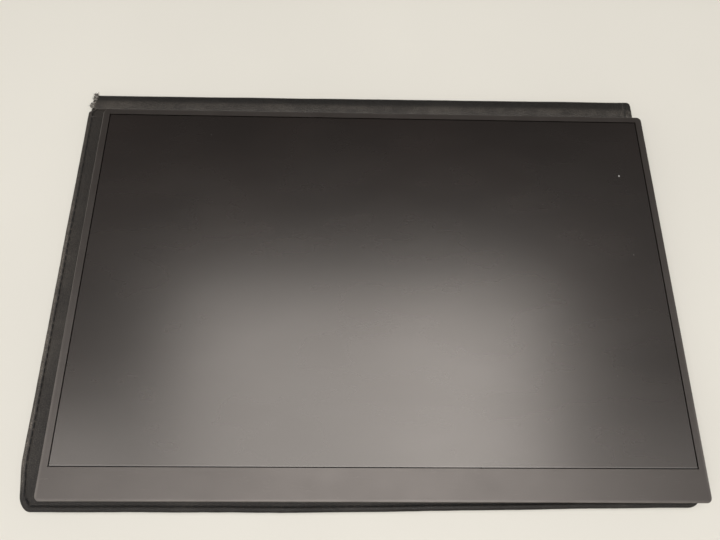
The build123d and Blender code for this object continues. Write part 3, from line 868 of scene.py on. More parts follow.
class Shape:
    """A bmesh in millimetres that becomes a finished object at the origin."""

    def __init__(self) -> None:
        """Starts an empty mesh with the marks that the finishes read."""
        self.bm = bmesh.new()
        self.rim = self.bm.verts.layers.float.new("rim")
        # This mark holds painted shade: the finishes darken by it.
        self.gap = self.bm.verts.layers.float.new("gap")

    def absorb(self, part: bmesh.types.BMesh, place: Optional[Matrix] = None) -> int:
        """Adds a small mesh made apart, which is quicker than making it in place.

        Args:
            part: The small mesh, which is used up.
            place: Where it goes, if it has to be moved.

        Returns:
            How many points it had.
        """
        carrier = bpy.data.meshes.new("carrier")
        part.to_mesh(carrier)
        part.free()
        if place:
            carrier.transform(place)
        self.bm.from_mesh(carrier)
        count = len(carrier.vertices)
        bpy.data.meshes.remove(carrier)
        return count

    def loop(
        self, plan: Plan, ring: Ring, steps: int, cuts: tuple[int, int]
    ) -> list[bmesh.types.BMEdge]:
        """Draws one closed line with rounded or straight-cut corners.

        Args:
            plan: The outline.
            ring: The line's inset, level and corners.
            steps: The segments of each corner.
            cuts: The cuts in each side along X and along Y.

        Returns:
            The line's edges.
        """
        line = bmesh.new()
        x0, x1, y0, y1 = plan.shrunk(ring.inset)
        corners = bmesh.ops.create_grid(line, x_segments=1, y_segments=1, size=0.5)["verts"]
        for vert in corners:
            place = (x0 if vert.co.x < 0 else x1, y0 if vert.co.y < 0 else y1, ring.level)
            vert.co = Vector(place)
        for vert in corners:
            if vert.co.y < (y0 + y1) / 2:
                round_corner(line, vert, ring.near_corner, steps, ring.near_profile)
            else:
                round_corner(line, vert, ring.far_corner, steps)
        bmesh.ops.delete(line, geom=list(line.faces), context="FACES_ONLY")
        for axis, count in enumerate(cuts):
            sides = sorted(
                line.edges, key=lambda edge: -abs(edge.verts[0].co[axis] - edge.verts[1].co[axis])
            )
            bmesh.ops.subdivide_edges(line, edges=sides[:2], cuts=count)
        count = self.absorb(line)
        self.bm.verts.ensure_lookup_table()
        made = self.bm.verts[len(self.bm.verts) - count :]
        for vert in made:
            vert[self.rim], vert[self.gap] = ring.rim, ring.gap
        return list({edge for vert in made for edge in vert.link_edges})

    def move(self, shift: Callable[[Vector], Vector]) -> None:
        """Moves every point to the place that the shift gives for it."""
        for vert in self.bm.verts:
            vert.co = shift(vert.co.copy())

    def finish(self, name: str, *finishes: Finish, crease: float = 38.0) -> bpy.types.Object:
        """Turns the mesh into an object at the origin, in metres.

        Args:
            name: The object's name.
            finishes: Its finishes, in the order of the faces' material index.
            crease: The angle in degrees from which an edge stays sharp.

        Returns:
            The object.
        """
        bmesh.ops.recalc_face_normals(self.bm, faces=self.bm.faces)
        bmesh.ops.scale(self.bm, vec=(MM, MM, MM), verts=self.bm.verts)
        mesh = bpy.data.meshes.new(name)
        self.bm.to_mesh(mesh)
        self.bm.free()
        for finish in finishes:
            mesh.materials.append(finish.material())
        mesh.shade_smooth()
        mesh.set_sharp_from_angle(angle=math.radians(crease))
        LOG.info("%s: %d faces", name, len(mesh.polygons))
        return add_object(name, mesh)


@dataclass(frozen=True)
class Stitching:
    """A run of lockstitches in a hem's groove."""

    pitch: float = 4.3
    length: float = 3.3
    width: float = 0.56
    slant: float = 4.0
    longest: float = 0.8
    unevenness: float = 0.05

    def sew(self, shape: Shape, start: Vector, end: Vector, count: int) -> None:
        """Lays one straight run of stitches.

        Args:
            shape: The shape to add them to.
            start: Where the run starts.
            end: Where it ends.
            count: How many stitches it has.
        """
        step = (end - start) / count
        turn = Matrix.Rotation(math.atan2(step.y, step.x) + math.radians(self.slant), 4, "Z")
        reach = min(self.length, step.length * self.longest)
        for number in range(count):
            stitch = bmesh.new()
            made = bmesh.ops.create_uvsphere(stitch, u_segments=6, v_segments=4, radius=1.0)
            verts = made["verts"]
            bmesh.ops.rotate(stitch, verts=verts, matrix=Matrix.Rotation(math.pi / 2, 3, "Y"))
            bmesh.ops.scale(stitch, verts=verts, vec=(reach / 2, self.width / 2, self.width / 2))
            drift = self.unevenness * math.sin(number * 2.3)
            centre = start + step * (number + 0.5) + Vector((drift, drift, 0))
            shape.absorb(stitch, Matrix.Translation(centre) @ turn)


@dataclass(frozen=True)
class FolioPanel:
    """A stiff panel of the folio: a wrap with a raised, stitched hem, round its board.

    A row of the hem's profile holds its inset, its height against the face, and the marks for a
    worn rim and for painted shade in the stitch groove and at the outer edge. The swell scales a
    raised row, on the low and on the high face.
    """

    name: str
    body: str
    plan: Plan
    z0: float
    z1: float
    replaced: tuple[str, ...]
    faces: tuple[Finish, Finish]
    near_corner: float = 8.0
    far_corner: float = 3.5
    crease_corner: float = 0.4
    least_corner: float = 0.5
    near_hem: bool = True
    swell: Span = (-0.01, 0.1)
    stitching: Stitching = Stitching()
    cuts_per_stitch: int = 4
    thread_depth: float = 0.3
    pressed: float = 0.0
    pressed_width: float = 14.0
    drawn: float = 0.0
    drawn_from: float = -60.0
    bent_depth: Span = (1.0, 27.0)
    groove: float = 2.95
    groove_reach: float = 0.6
    groove_pull: float = 0.5
    face_reach: float = 0.6
    cut_corner: float = 4.7
    corner_steps: int = 8
    crease_fade: Span = (3.0, 8.0)
    side_kept: Span = (3.6, 5.2)
    worn_y: Span = (20.0, 80.0)
    worn_share: float = 0.65
    # Painted shade along the near side, which gets little light: how deep it reaches, its reach
    # from the edge, its strength, the share of pale rim that it leaves and how much it deepens the
    # groove's painted shade.
    near_shade_depth: Span = (4.0, 22.0)
    near_shade_inset: Span = (2.2, 2.6)
    near_shade: float = 0.35
    near_shade_rim: float = 0.12
    near_shade_boost: float = 0.4
    faded_rim: float = 0.7
    stitch_rim: float = 0.8
    # How far the groove's painted shade lifts between stitches.
    stitch_shade_lift: float = 0.95
    side_from: float = 150.0
    inner_wander: float = 0.3
    wander: tuple[Point, ...] = ((34.0, 0.0, 0.22), (7.0, 9.0, 0.07))
    # Columns: inset, height, rim mark, painted shade mark; the painted shade darkens the stitch
    # groove and the outer edge.
    rows: tuple[Four, ...] = (
        (0.0, -0.85, 0.0, 0.3),
        (0.14, -0.42, 0.1, 0.2),
        (0.5, -0.1, 0.3, 0.0),
        (1.1, 0.75, 0.75, 0.0),
        (1.8, 1.0, 0.7, 0.0),
        (2.4, 0.1, 0.35, 0.05),
        (2.7, -0.22, 0.0, 0.5),
        (2.95, -0.5, 0.0, 0.72),
        (3.25, -0.3, 0.0, 0.45),
        (3.7, -0.07, 0.1, 0.05),
        (4.6, -0.01, 0.12, 0.0),
        (14.0, 0.0, 0.0, 0.0),
    )

    @property
    def cut(self) -> float:
        """Gives how much of each side the cut at a near corner takes."""
        return self.cut_corner if self.near_hem else 0.0

    @property
    def middle(self) -> float:
        """Gives the level halfway between the two faces."""
        return (self.z0 + self.z1) / 2

    def counts(self) -> tuple[int, int]:
        """Counts the stitches.

        Returns:
            How many lie along X and how many along Y.
        """
        x0, x1, y0, y1 = self.plan.shrunk(self.groove)
        across = round((x1 - x0 - 2 * self.cut) / self.stitching.pitch)
        return across, round((y1 - y0 - self.cut) / self.stitching.pitch)

    def ring(self, row: Four, high: bool) -> Ring:
        """Turns one row of the hem's profile into a ring.

        Args:
            row: The row.
            high: Whether it is on the high face.

        Returns:
            The ring.
        """
        inset, height, rim, gap = row
        if height > 0:
            height *= self.swell[high]
        level = self.z1 + height if high else self.z0 - height
        far = max(self.far_corner - inset * self.plan.far_share, self.crease_corner)
        if not self.near_hem:
            return Ring(inset, level, self.crease_corner, far, ROUND, rim, gap)
        if inset > self.groove - self.groove_reach:
            return Ring(inset, level, self.cut_corner, far, STRAIGHT, rim, gap)
        near = max(self.near_corner - inset, self.least_corner)
        return Ring(inset, level, near, far, ROUND, rim, gap)

    def inset(self, point: Vector) -> float:
        """Gives a point's distance from the nearest hemmed side."""
        sides = [point.x - self.plan.x0, self.plan.x1 - point.x]
        return min(sides + [point.y - self.plan.y0] if self.near_hem else sides)

    def bend(self, point: Vector) -> Vector:
        """Presses the near left corner in and draws the near right one up, as they are in use.

        Args:
            point: A point of the panel or its thread.

        Returns:
            Its new place.
        """
        start, end = self.bent_depth
        near = 1 - smooth(self.plan.y0 + start, self.plan.y0 + end, point.y)
        left = point.x - self.plan.x0
        point.x += self.pressed * near * (1 - smooth(0.0, self.pressed_width, left))
        point.y += self.drawn * near * smooth(self.drawn_from, self.plan.x1, point.x)
        return point

    def wear(self, y: float) -> float:
        """Gives how much of the hem's wear is left at a place along Y: less towards the spine."""
        return 1 - self.worn_share * smooth(*self.worn_y, y)

    def profile(self, inset: float) -> Point:
        """Reads the hem's profile at an inset.

        Args:
            inset: The distance from the panel's edge.

        Returns:
            The height against the face, the rim mark and the painted shade mark.
        """
        for low, high in zip(self.rows, self.rows[1:]):
            if inset <= high[0]:
                share = (inset - low[0]) / (high[0] - low[0])
                height, rim, gap = (a + (b - a) * share for a, b in zip(low[1:], high[1:]))
                return (height * self.swell[1] if height > 0 else height, rim, gap)
        return (0.0, 0.0, 0.0)

    def faded(self, point: Vector) -> float:
        """Gives how far the hem has faded out towards a crease.

        Args:
            point: A point of the wrap.

        Returns:
            1 at a crease, 0 away from it.
        """
        start, end = self.crease_fade
        fade = smooth(self.plan.y1 - end, self.plan.y1 - start, point.y)
        if not self.near_hem:
            fade = max(fade, 1 - smooth(self.plan.y0 + start, self.plan.y0 + end, point.y))
        side = min(point.x - self.plan.x0, self.plan.x1 - point.x)
        return fade * smooth(*self.side_kept, side)

    def between(self, point: Vector) -> float:
        """Gives how close a point is to the gap between two stitches.

        Args:
            point: A point of the wrap.

        Returns:
            1 at the gap, 0 along a stitch.
        """
        x0, x1, y0, y1 = self.plan.shrunk(self.groove)
        across, up = self.counts()
        if min(abs(point.x - x0), abs(point.x - x1)) < 1.0:
            phase = (point.y - y0 - self.cut) / (y1 - y0 - self.cut) * up
        else:
            phase = (point.x - x0 - self.cut) / (x1 - x0 - 2 * self.cut) * across
        return max(0.0, math.cos(math.tau * phase))

    def settle(self, shape: Shape) -> None:
        """Fades the hem out at the creases, pulls it in at the stitches, paints shade along the
        near side and lets the edge wander.

        Args:
            shape: The wrap's shape.
        """
        for vert in shape.bm.verts:
            point = vert.co
            high = point.z > self.middle
            level = self.z1 if high else self.z0
            fade = self.faded(point)
            if abs(point.z - level) < self.face_reach:
                point.z += (level - point.z) * fade
            between = self.between(point) * (1 - fade)
            inset = self.inset(point)
            in_groove = self.groove - self.groove_reach < inset < self.groove + self.groove_reach
            groove = vert[shape.gap] if in_groove else 0.0
            pull = self.groove_pull * between * groove
            point.z += pull if high else -pull
            # Between stitches the leather is marked pale and the groove's painted shade lifts.
            rim = max(vert[shape.rim], self.stitch_rim * between * groove)
            gap = vert[shape.gap] * ((1 - fade) * (1 - self.stitch_shade_lift * between))
            # Painted shade along the near side: the pale rim fades there and the painted shade of
            # the groove and edge deepens.
            kept = 1.0
            if self.near_hem:
                start, end = self.near_shade_depth
                kept = smooth(self.plan.y0 + start, self.plan.y0 + end, point.y)
            rim *= (1 - self.faded_rim * fade) * self.wear(point.y)
            vert[shape.rim] = rim * (self.near_shade_rim + (1 - self.near_shade_rim) * kept)
            near_shade = self.near_shade * (1 - kept) * (1 - smooth(*self.near_shade_inset, inset))
            vert[shape.gap] = max(min(1.0, gap * (1 + self.near_shade_boost * (1 - kept))), near_shade)
            push = sum(
                reach * lump(point.x / size, point.y / size, self.z0 + layer)
                for size, layer, reach in self.wander
            )
            point.x += push * (1 if abs(point.x) > self.side_from else self.inner_wander)
            point.y += push * (1 - fade)
        shape.move(self.bend)

    def build(self) -> None:
        """Makes the wrap and its stitches."""
        shape = Shape()
        across, up = self.counts()
        cuts = (self.cuts_per_stitch * across - 1, self.cuts_per_stitch * up - 1)
        rings = [self.ring(row, False) for row in reversed(self.rows)]
        rings += [self.ring(row, True) for row in self.rows]
        last: list[bmesh.types.BMEdge] = []
        for ring in rings:
            edges = shape.loop(self.plan, ring, self.corner_steps, cuts)
            if last:
                bmesh.ops.bridge_loops(shape.bm, edges=last + edges)
            else:
                bmesh.ops.edgeloop_fill(shape.bm, edges=edges)
            last = edges
        bmesh.ops.edgeloop_fill(shape.bm, edges=last)
        for face in shape.bm.faces:
            face.material_index = int(face.calc_center_median().z > self.middle)
        self.settle(shape)
        wrap = shape.finish(f"{self.name}_wrap", *self.faces)
        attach(wrap, self.body)
        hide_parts(*self.replaced)
        thread = self.thread()
        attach(thread, self.body)

    def thread(self) -> bpy.types.Object:
        """Sews both faces along the hemmed sides and over the cut corners.

        Returns:
            The thread.
        """
        shape = Shape()
        across, up = self.counts()
        x0, x1, y0, y1 = self.plan.shrunk(self.groove)
        low = y0 + self.cut
        runs = [((x, low), (x, y1), up) for x in (x0, x1)]
        if self.near_hem:
            left, right = x0 + self.cut, x1 - self.cut
            runs.append(((left, y0), (right, y0), across))
            runs += [((x0, low), (left, y0), 1), ((x1, low), (right, y0), 1)]
        for level in (self.z0 + self.thread_depth, self.z1 - self.thread_depth):
            for start, end, count in runs:
                self.stitching.sew(shape, Vector((*start, level)), Vector((*end, level)), count)
        shape.move(self.bend)
        return shape.finish(f"{self.name}_thread", THREAD, crease=80.0)


@dataclass(frozen=True)
class SpineSleeve:
    """The leather sleeve over the spine board, with the rolled edge that the cover turns on.

    The section lists the corners of the sleeve's outline: their places along Y and Z, and their
    radii. The sizes of the ends are measured from them along X.
    """

    x0: float = -181.7
    x1: float = 184.8
    section: tuple[Point, ...] = (
        (117.45, 2.75, 0.4),
        (117.45, 4.35, 0.9),
        (122.3, 5.15, 2.6),
        (131.05, 4.75, 2.5),
        (131.05, 0.0, 2.3),
        (126.3, 0.0, 2.2),
        (126.3, 2.55, 0.2),
    )
    corner_steps: int = 5
    skin: float = 0.5
    left_pitch: tuple[float, int] = (0.4, 16)
    right_pitch: tuple[float, int] = (0.45, 44)
    pitch: float = 4.0
    top_face: Span = (3.2, 4.4)
    border: float = 5.4
    border_rim: Span = (-1.6, 1.4)
    fold_depth: float = 0.28
    fold_width: float = 0.5
    sewn_z: float = 3.9
    board_rise: float = 0.82
    board_end: Span = (1.6, 3.2)
    board_back: Span = (126.0, 127.2)
    end_radius: float = 3.0
    ripple: float = 0.16
    ripple_end: Span = (12.0, 26.0)
    slack: float = 0.13
    edge_wander: float = 0.2
    skew: float = 1.7
    axis_y: float = 124.2
    axis_z: float = 2.35
    back_depth: float = 7.0
    tear: float = 5.0
    tear_depths: Four = (0.6, 1.0, 1.7, 2.0)
    slit: Span = (124.3, 1.5)
    back_gone: Span = (127.6, 130.4)
    lips: tuple[Span, ...] = ((120.3, 1.6), (128.8, 1.4))
    lip_rise: float = 0.35

    def stations(self) -> list[float]:
        """Places the cross-sections, close together at both ends.

        Returns:
            Their places along X.
        """
        near = [self.x0 + self.left_pitch[0] * n for n in range(self.left_pitch[1])]
        far = [self.x1 - self.right_pitch[0] * n for n in range(self.right_pitch[1])]
        count = round((far[-1] - near[-1]) / self.pitch)
        step = (far[-1] - near[-1]) / count
        return near + [near[-1] + step * n for n in range(1, count)] + far[::-1]

    def sew(self, point: Vector, top: float) -> None:
        """Presses the right end flat where it is sewn, and draws it in round its corner.

        Args:
            point: The point to move.
            top: How far it belongs to the top face.
        """
        right = self.x1 - point.x
        start, end = (self.border + reach for reach in self.border_rim)
        sewn = 1 - smooth(start, end, right)
        board = smooth(*self.board_end, right) * (1 - smooth(*self.board_back, point.y))
        floor = self.sewn_z + self.board_rise * board
        if top > 0:
            reach = top * (sewn + self.fold_depth * bell(right, self.border, self.fold_width))
            point.z -= max(0.0, min(reach, point.z - floor))
        if right < self.end_radius:
            chord = math.sqrt(max(0.0, self.end_radius**2 - (self.end_radius - right) ** 2))
            cut = self.end_radius - chord
            point.y -= cut * (max(0.0, point.y - self.axis_y) / self.back_depth)
            point.z += (self.axis_z - point.z) * 0.3 * (cut / self.end_radius) ** 2

    def wrinkle(self, point: Vector, top: float) -> None:
        """Gives the sleeve its fine ripples, its slack and its uneven, slightly skewed back edge.

        Args:
            point: The point to move.
            top: How far it belongs to the top face.
        """
        left, right = point.x - self.x0, self.x1 - point.x
        ripple = self.ripple * lump(point.x / 2.6 + point.y / 5, point.y / 4.2, 3.0)
        near_end = smooth(0, 3, right) * (1 - smooth(*self.ripple_end, right))
        point.z += top * ripple * near_end
        point.z += top * self.slack * lump(point.x / 42, point.y / 16, 1.0)
        wander = self.edge_wander * (lump(point.x / 30, 0, 5) - 0.45)
        point.y += smooth(127.0, 130.5, point.y) * wander
        turned = 1 - left / (self.x1 - self.x0)
        point.y -= self.skew * smooth(123.0, 130.0, point.y) * turned

    def rip(self, point: Vector, top: float) -> None:
        """Tears the left end: ragged, with a slit, a missing back and lips that stand up.

        Args:
            point: The point to move.
            top: How far it belongs to the top face.
        """
        torn = 1 - smooth(0.0, self.tear, point.x - self.x0)
        if torn > 0:
            rag = lump(0.0, point.y / 0.9, point.z / 0.8)
            slit = bell(point.y, *self.slit) * smooth(2.6, 4.0, point.z)
            shares = (1, rag, slit, smooth(*self.back_gone, point.y))
            point.x += torn * sum(d * share for d, share in zip(self.tear_depths, shares))
            lip = sum(bell(point.y, *place) for place in self.lips)
            point.z += torn * top * self.lip_rise * lip

    def shift(self, point: Vector) -> Vector:
        """Gives the place of a point once the ends are sewn and torn and the leather is creased.

        Args:
            point: Its place on the plain sleeve.

        Returns:
            Its new place.
        """
        top = smooth(*self.top_face, point.z)
        for change in (self.sew, self.wrinkle, self.rip):
            change(point, top)
        return point

    def mark(self, shape: Shape) -> None:
        """Marks the frayed end and the ripples near the right end pale, paints a highlight on the
        top's near half, and paints shade over the far roll and in the sewn fold.

        Args:
            shape: The sleeve's shape.
        """
        for vert in shape.bm.verts:
            point = vert.co
            right = self.x1 - point.x
            torn = 1 - smooth(0.5, 3.0, point.x - self.x0)
            ripple = lump(point.x / 1.9 + point.y / 3, point.y / 3.1, 7.0)
            wrinkle = smooth(0.12, 0.4, ripple) * (1 - smooth(7.0, 12.0, right))
            # Painted highlight on the top's near half; painted shade over the far half's roll,
            # which turns away from the light, and in the sewn fold.
            painted_highlight = 0.22 * (1 - smooth(121.5, 125.5, point.y)) * smooth(3.6, 4.6, point.z)
            painted_roll_shade = 0.8 * smooth(122.6, 126.0, point.y)
            vert[shape.rim] = max(torn * 0.8, wrinkle * 0.6, painted_highlight)
            vert[shape.gap] = max(painted_roll_shade * (1 - torn), 0.8 * bell(right, self.border, 0.6))

    def build(self) -> None:
        """Makes the sleeve, open at its torn left end and sewn flat at its right end."""
        shape = Shape()
        outline = bmesh.ops.create_circle(
            shape.bm, cap_ends=True, segments=len(self.section), radius=1.0
        )
        corners = list(zip(outline["verts"], self.section))
        for vert, (y, z, _) in corners:
            vert.co = Vector((self.x0, y, z))
        for vert, (_, _, radius) in corners:
            round_corner(shape.bm, vert, radius, self.corner_steps)
        bmesh.ops.delete(shape.bm, geom=list(shape.bm.faces), context="FACES_ONLY")
        edges = list(shape.bm.edges)
        places = self.stations()
        for here, there in zip(places, places[1:]):
            made = bmesh.ops.extrude_edge_only(shape.bm, edges=edges)["geom"]
            edges = picked(made, bmesh.types.BMEdge)
            verts = picked(made, bmesh.types.BMVert)
            bmesh.ops.translate(shape.bm, verts=verts, vec=(there - here, 0, 0))
        bmesh.ops.edgeloop_fill(shape.bm, edges=edges)
        bmesh.ops.recalc_face_normals(shape.bm, faces=shape.bm.faces)
        shape.move(self.shift)
        self.mark(shape)
        bmesh.ops.solidify(shape.bm, geom=list(shape.bm.faces), thickness=self.skin)
        made = shape.finish("spine_sleeve", LEATHER)
        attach(made, "spine")
        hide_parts("spine_outer_skin", "spine_lining", "cover_crease")


@dataclass(frozen=True)
class FrayedEnd:
    """Loose yarns and crumbs of coating where the sleeve's left end is torn.

    A tuft holds its place, its spread along Y and how many yarns it has.
    """

    tufts: tuple[tuple[float, float, float, float, int], ...] = (
        (-182.6, 120.5, 4.5, 1.5, 190),
        (-181.1, 127.8, 4.5, 1.6, 230),
        (-181.9, 126.4, 3.9, 0.9, 60),
        (-181.2, 124.4, 2.2, 1.0, 14),
    )
    pale_share: float = 0.72
    seed: int = 11
    furthest: float = 1.6
    thickness: Span = (0.11, 0.22)
    sides: int = 5
    lengths: int = 5
    stride: Span = (0.16, 0.36)
    curl: float = 0.6
    taper: float = 0.86
    leaving: tuple[Span, ...] = ((-1.0, 0.2), (-0.8, 0.8), (-0.4, 0.6))
    yarn_limits: tuple[Span, float, Span] = ((-1.0, 1.5), 0.6, (-0.9, 0.8))
    crumb_limits: tuple[Span, float, Span] = ((-1.2, 1.4), 0.55, (-0.7, 0.7))
    crumb_radius: Span = (0.2, 0.5)
    crumb_stretch: Span = (0.7, 1.3)
    crumb_flatness: float = 0.6
    pressed_z: float = 1.5
    pressed_share: float = 0.05

    def strewn(
        self, dice: random.Random, spread: float, limits: tuple[Span, float, Span]
    ) -> Vector:
        """Draws a shift that is even along X and Z, and along Y mostly small and never far out.

        Args:
            dice: The seeded random numbers.
            spread: The tuft's spread along Y.
            limits: The limits along X, the share of the spread and the limits along Z.

        Returns:
            The shift.
        """
        x, share, z = limits
        across, reach = dice.uniform(*x), spread * share
        far = self.furthest * reach
        return Vector((across, max(-far, min(far, dice.gauss(0, reach))), dice.uniform(*z)))

    def yarn(self, shape: Shape, dice: random.Random, root: Vector, heading: Vector) -> None:
        """Grows one curling yarn.

        Args:
            shape: The shape to add it to.
            dice: The seeded random numbers.
            root: Where it starts.
            heading: The way that it leaves.
        """
        radius = dice.uniform(*self.thickness)
        strand = bmesh.new()
        circle = bmesh.ops.create_circle(strand, cap_ends=True, segments=self.sides, radius=radius)
        verts = circle["verts"]
        turn = heading.to_track_quat("Z", "Y").to_matrix()
        bmesh.ops.rotate(strand, verts=verts, matrix=turn)
        bmesh.ops.translate(strand, verts=verts, vec=root)
        face = verts[0].link_faces[0]
        curl = Vector([dice.uniform(-self.curl, self.curl) for _ in range(3)]) * self.curl
        for _ in range(self.lengths):
            made = bmesh.ops.extrude_face_region(strand, geom=[face])["geom"]
            verts = picked(made, bmesh.types.BMVert)
            bmesh.ops.delete(strand, geom=[face], context="FACES_ONLY")
            face = picked(made, bmesh.types.BMFace)[0]
            heading = (heading + curl).normalized()
            bmesh.ops.translate(strand, verts=verts, vec=heading * dice.uniform(*self.stride))
            centre = sum((vert.co for vert in verts), Vector()) / len(verts)
            there = Matrix.Translation(-centre)
            bmesh.ops.scale(strand, verts=verts, vec=(self.taper,) * 3, space=there)
        shape.absorb(strand)

    def crumb(self, shape: Shape, dice: random.Random, place: Vector) -> None:
        """Drops one flake of coating.

        Args:
            shape: The shape to add it to.
            dice: The seeded random numbers.
            place: Where it lies.
        """
        flake = bmesh.new()
        rim = flake.verts.layers.float.new("rim")
        radius = dice.uniform(*self.crumb_radius)
        for vert in bmesh.ops.create_icosphere(flake, subdivisions=1, radius=radius)["verts"]:
            flat = Vector((vert.co.x, vert.co.y, vert.co.z * self.crumb_flatness))
            vert.co = flat * dice.uniform(*self.crumb_stretch) + place
            vert[rim] = dice.uniform(0.0, 1.0)
        shape.absorb(flake)

    def build(self) -> None:
        """Makes the pale and dark yarns and the crumbs."""
        dice = random.Random(self.seed)
        pale, dark, crumbs = Shape(), Shape(), Shape()
        for *place, spread, count in self.tufts:
            for _ in range(count):
                shift = self.strewn(dice, spread, self.yarn_limits)
                heading = Vector([dice.uniform(*limits) for limits in self.leaving]).normalized()
                yarns = pale if dice.random() < self.pale_share else dark
                self.yarn(yarns, dice, Vector(place) + shift, heading)
            for _ in range(count // 2):
                shift = self.strewn(dice, spread, self.crumb_limits)
                self.crumb(crumbs, dice, Vector(place) + shift)
        pieces = [
            pale.finish("frayed_yarns_pale", FRAY),
            dark.finish("frayed_yarns_dark", THREAD),
            crumbs.finish("torn_crumbs", CRUMB),
        ]
        for piece in pieces:
            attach(piece, "spine")
            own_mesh(piece)


@dataclass(frozen=True)
class CreaseSkin:
    """A soft strip of leatherette that bends between two stiff panels, with the hem running on."""

    name: str
    bodies: tuple[str, str]
    replaced: str
    hem: FolioPanel
    y: Span
    z: Span
    turn: Span
    dip: float = 0.25
    under: float = 0.0
    tuck: float = 0.0
    tuck_from: Span = (0.55, 0.95)
    left_cut: Optional[Point] = None
    cut_width: float = 9.0
    hem_end: Span = (2.0, 12.0)
    pucker: float = 0.06
    rows: int = 16
    middle_columns: int = 110
    hem_columns: tuple[float, ...] = (
        (0.0, 0.15, 0.5, 0.9, 1.3, 1.8, 2.3, 2.6, 2.8, 2.95, 3.1, 3.4, 3.9, 4.6, 6.0, 8.0, 10.5)
    )

    @property
    def middle(self) -> float:
        """Gives the level halfway between the two faces."""
        return sum(self.z) / 2

    def stations(self) -> list[float]:
        """Places the columns, close together over both hems.

        Returns:
            Their places along X.
        """
        x0, x1 = self.hem.plan.x0, self.hem.plan.x1
        last, count = self.hem_columns[-1], self.middle_columns
        step = (x1 - x0 - 2 * last) / count
        middle = [x0 + last + step * n for n in range(1, count)]
        far = [x1 - inset for inset in reversed(self.hem_columns)]
        return [x0 + inset for inset in self.hem_columns] + middle + far

    def shift(self, point: Vector, shape: Shape, vert: bmesh.types.BMVert) -> Vector:
        """Gives the place of a point once the strip has its hems, valleys and cut corner.

        Args:
            point: Its place on the plain strip.
            shape: The strip's shape.
            vert: The point's vertex, which takes the marks.

        Returns:
            Its new place.
        """
        left = point.x - self.hem.plan.x0
        edge = min(left, self.hem.plan.x1 - point.x)
        # The hem's worn rim and its painted shade run on over the strip.
        height, rim, vert[shape.gap] = self.hem.profile(edge)
        vert[shape.rim] = rim * self.hem.wear(point.y)
        across = (point.y - self.y[0]) / (self.y[1] - self.y[0])
        valley = math.sin(math.pi * across) ** 2
        inner = valley * smooth(*self.hem_end, edge)
        side = 1 if point.z > self.middle else -1
        if side < 0:
            height = -max(0.0, -height, self.under * valley, self.dip * inner)
        else:
            height -= self.dip * inner + self.tuck * smooth(*self.tuck_from, across)
        pucker = lump(point.x / 3.4, point.y / 6.0, side * 4.0)
        point.z += side * (height - self.pucker * pucker * inner)
        if self.left_cut:
            low, high, reach = self.left_cut
            share = max(0.0, 1 - left / self.cut_width)
            point.x += reach * smooth(low, high, point.y) * share
        return point

    def build(self) -> None:
        """Makes the strip."""
        shape = Shape()
        places = self.stations()
        last = len(places) - 1
        low, high = self.y
        flat = bmesh.ops.create_grid(shape.bm, x_segments=last, y_segments=self.rows, size=0.5)
        for vert in flat["verts"]:
            x, y = places[round((vert.co.x + 0.5) * last)], low + (vert.co.y + 0.5) * (high - low)
            vert.co = Vector((x, y, self.z[1]))
        grown = bmesh.ops.extrude_face_region(shape.bm, geom=list(shape.bm.faces))["geom"]
        verts = picked(grown, bmesh.types.BMVert)
        bmesh.ops.translate(shape.bm, verts=verts, vec=(0, 0, self.z[0] - self.z[1]))
        for vert in shape.bm.verts:
            vert.co = self.shift(vert.co.copy(), shape, vert)
        strip = shape.finish(self.name, LEATHER)
        start, end = ((0, y * MM, self.middle * MM) for y in self.turn)
        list(self.bodies)
        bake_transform(strip)
        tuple(start)
        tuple(end)
        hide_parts(self.replaced)


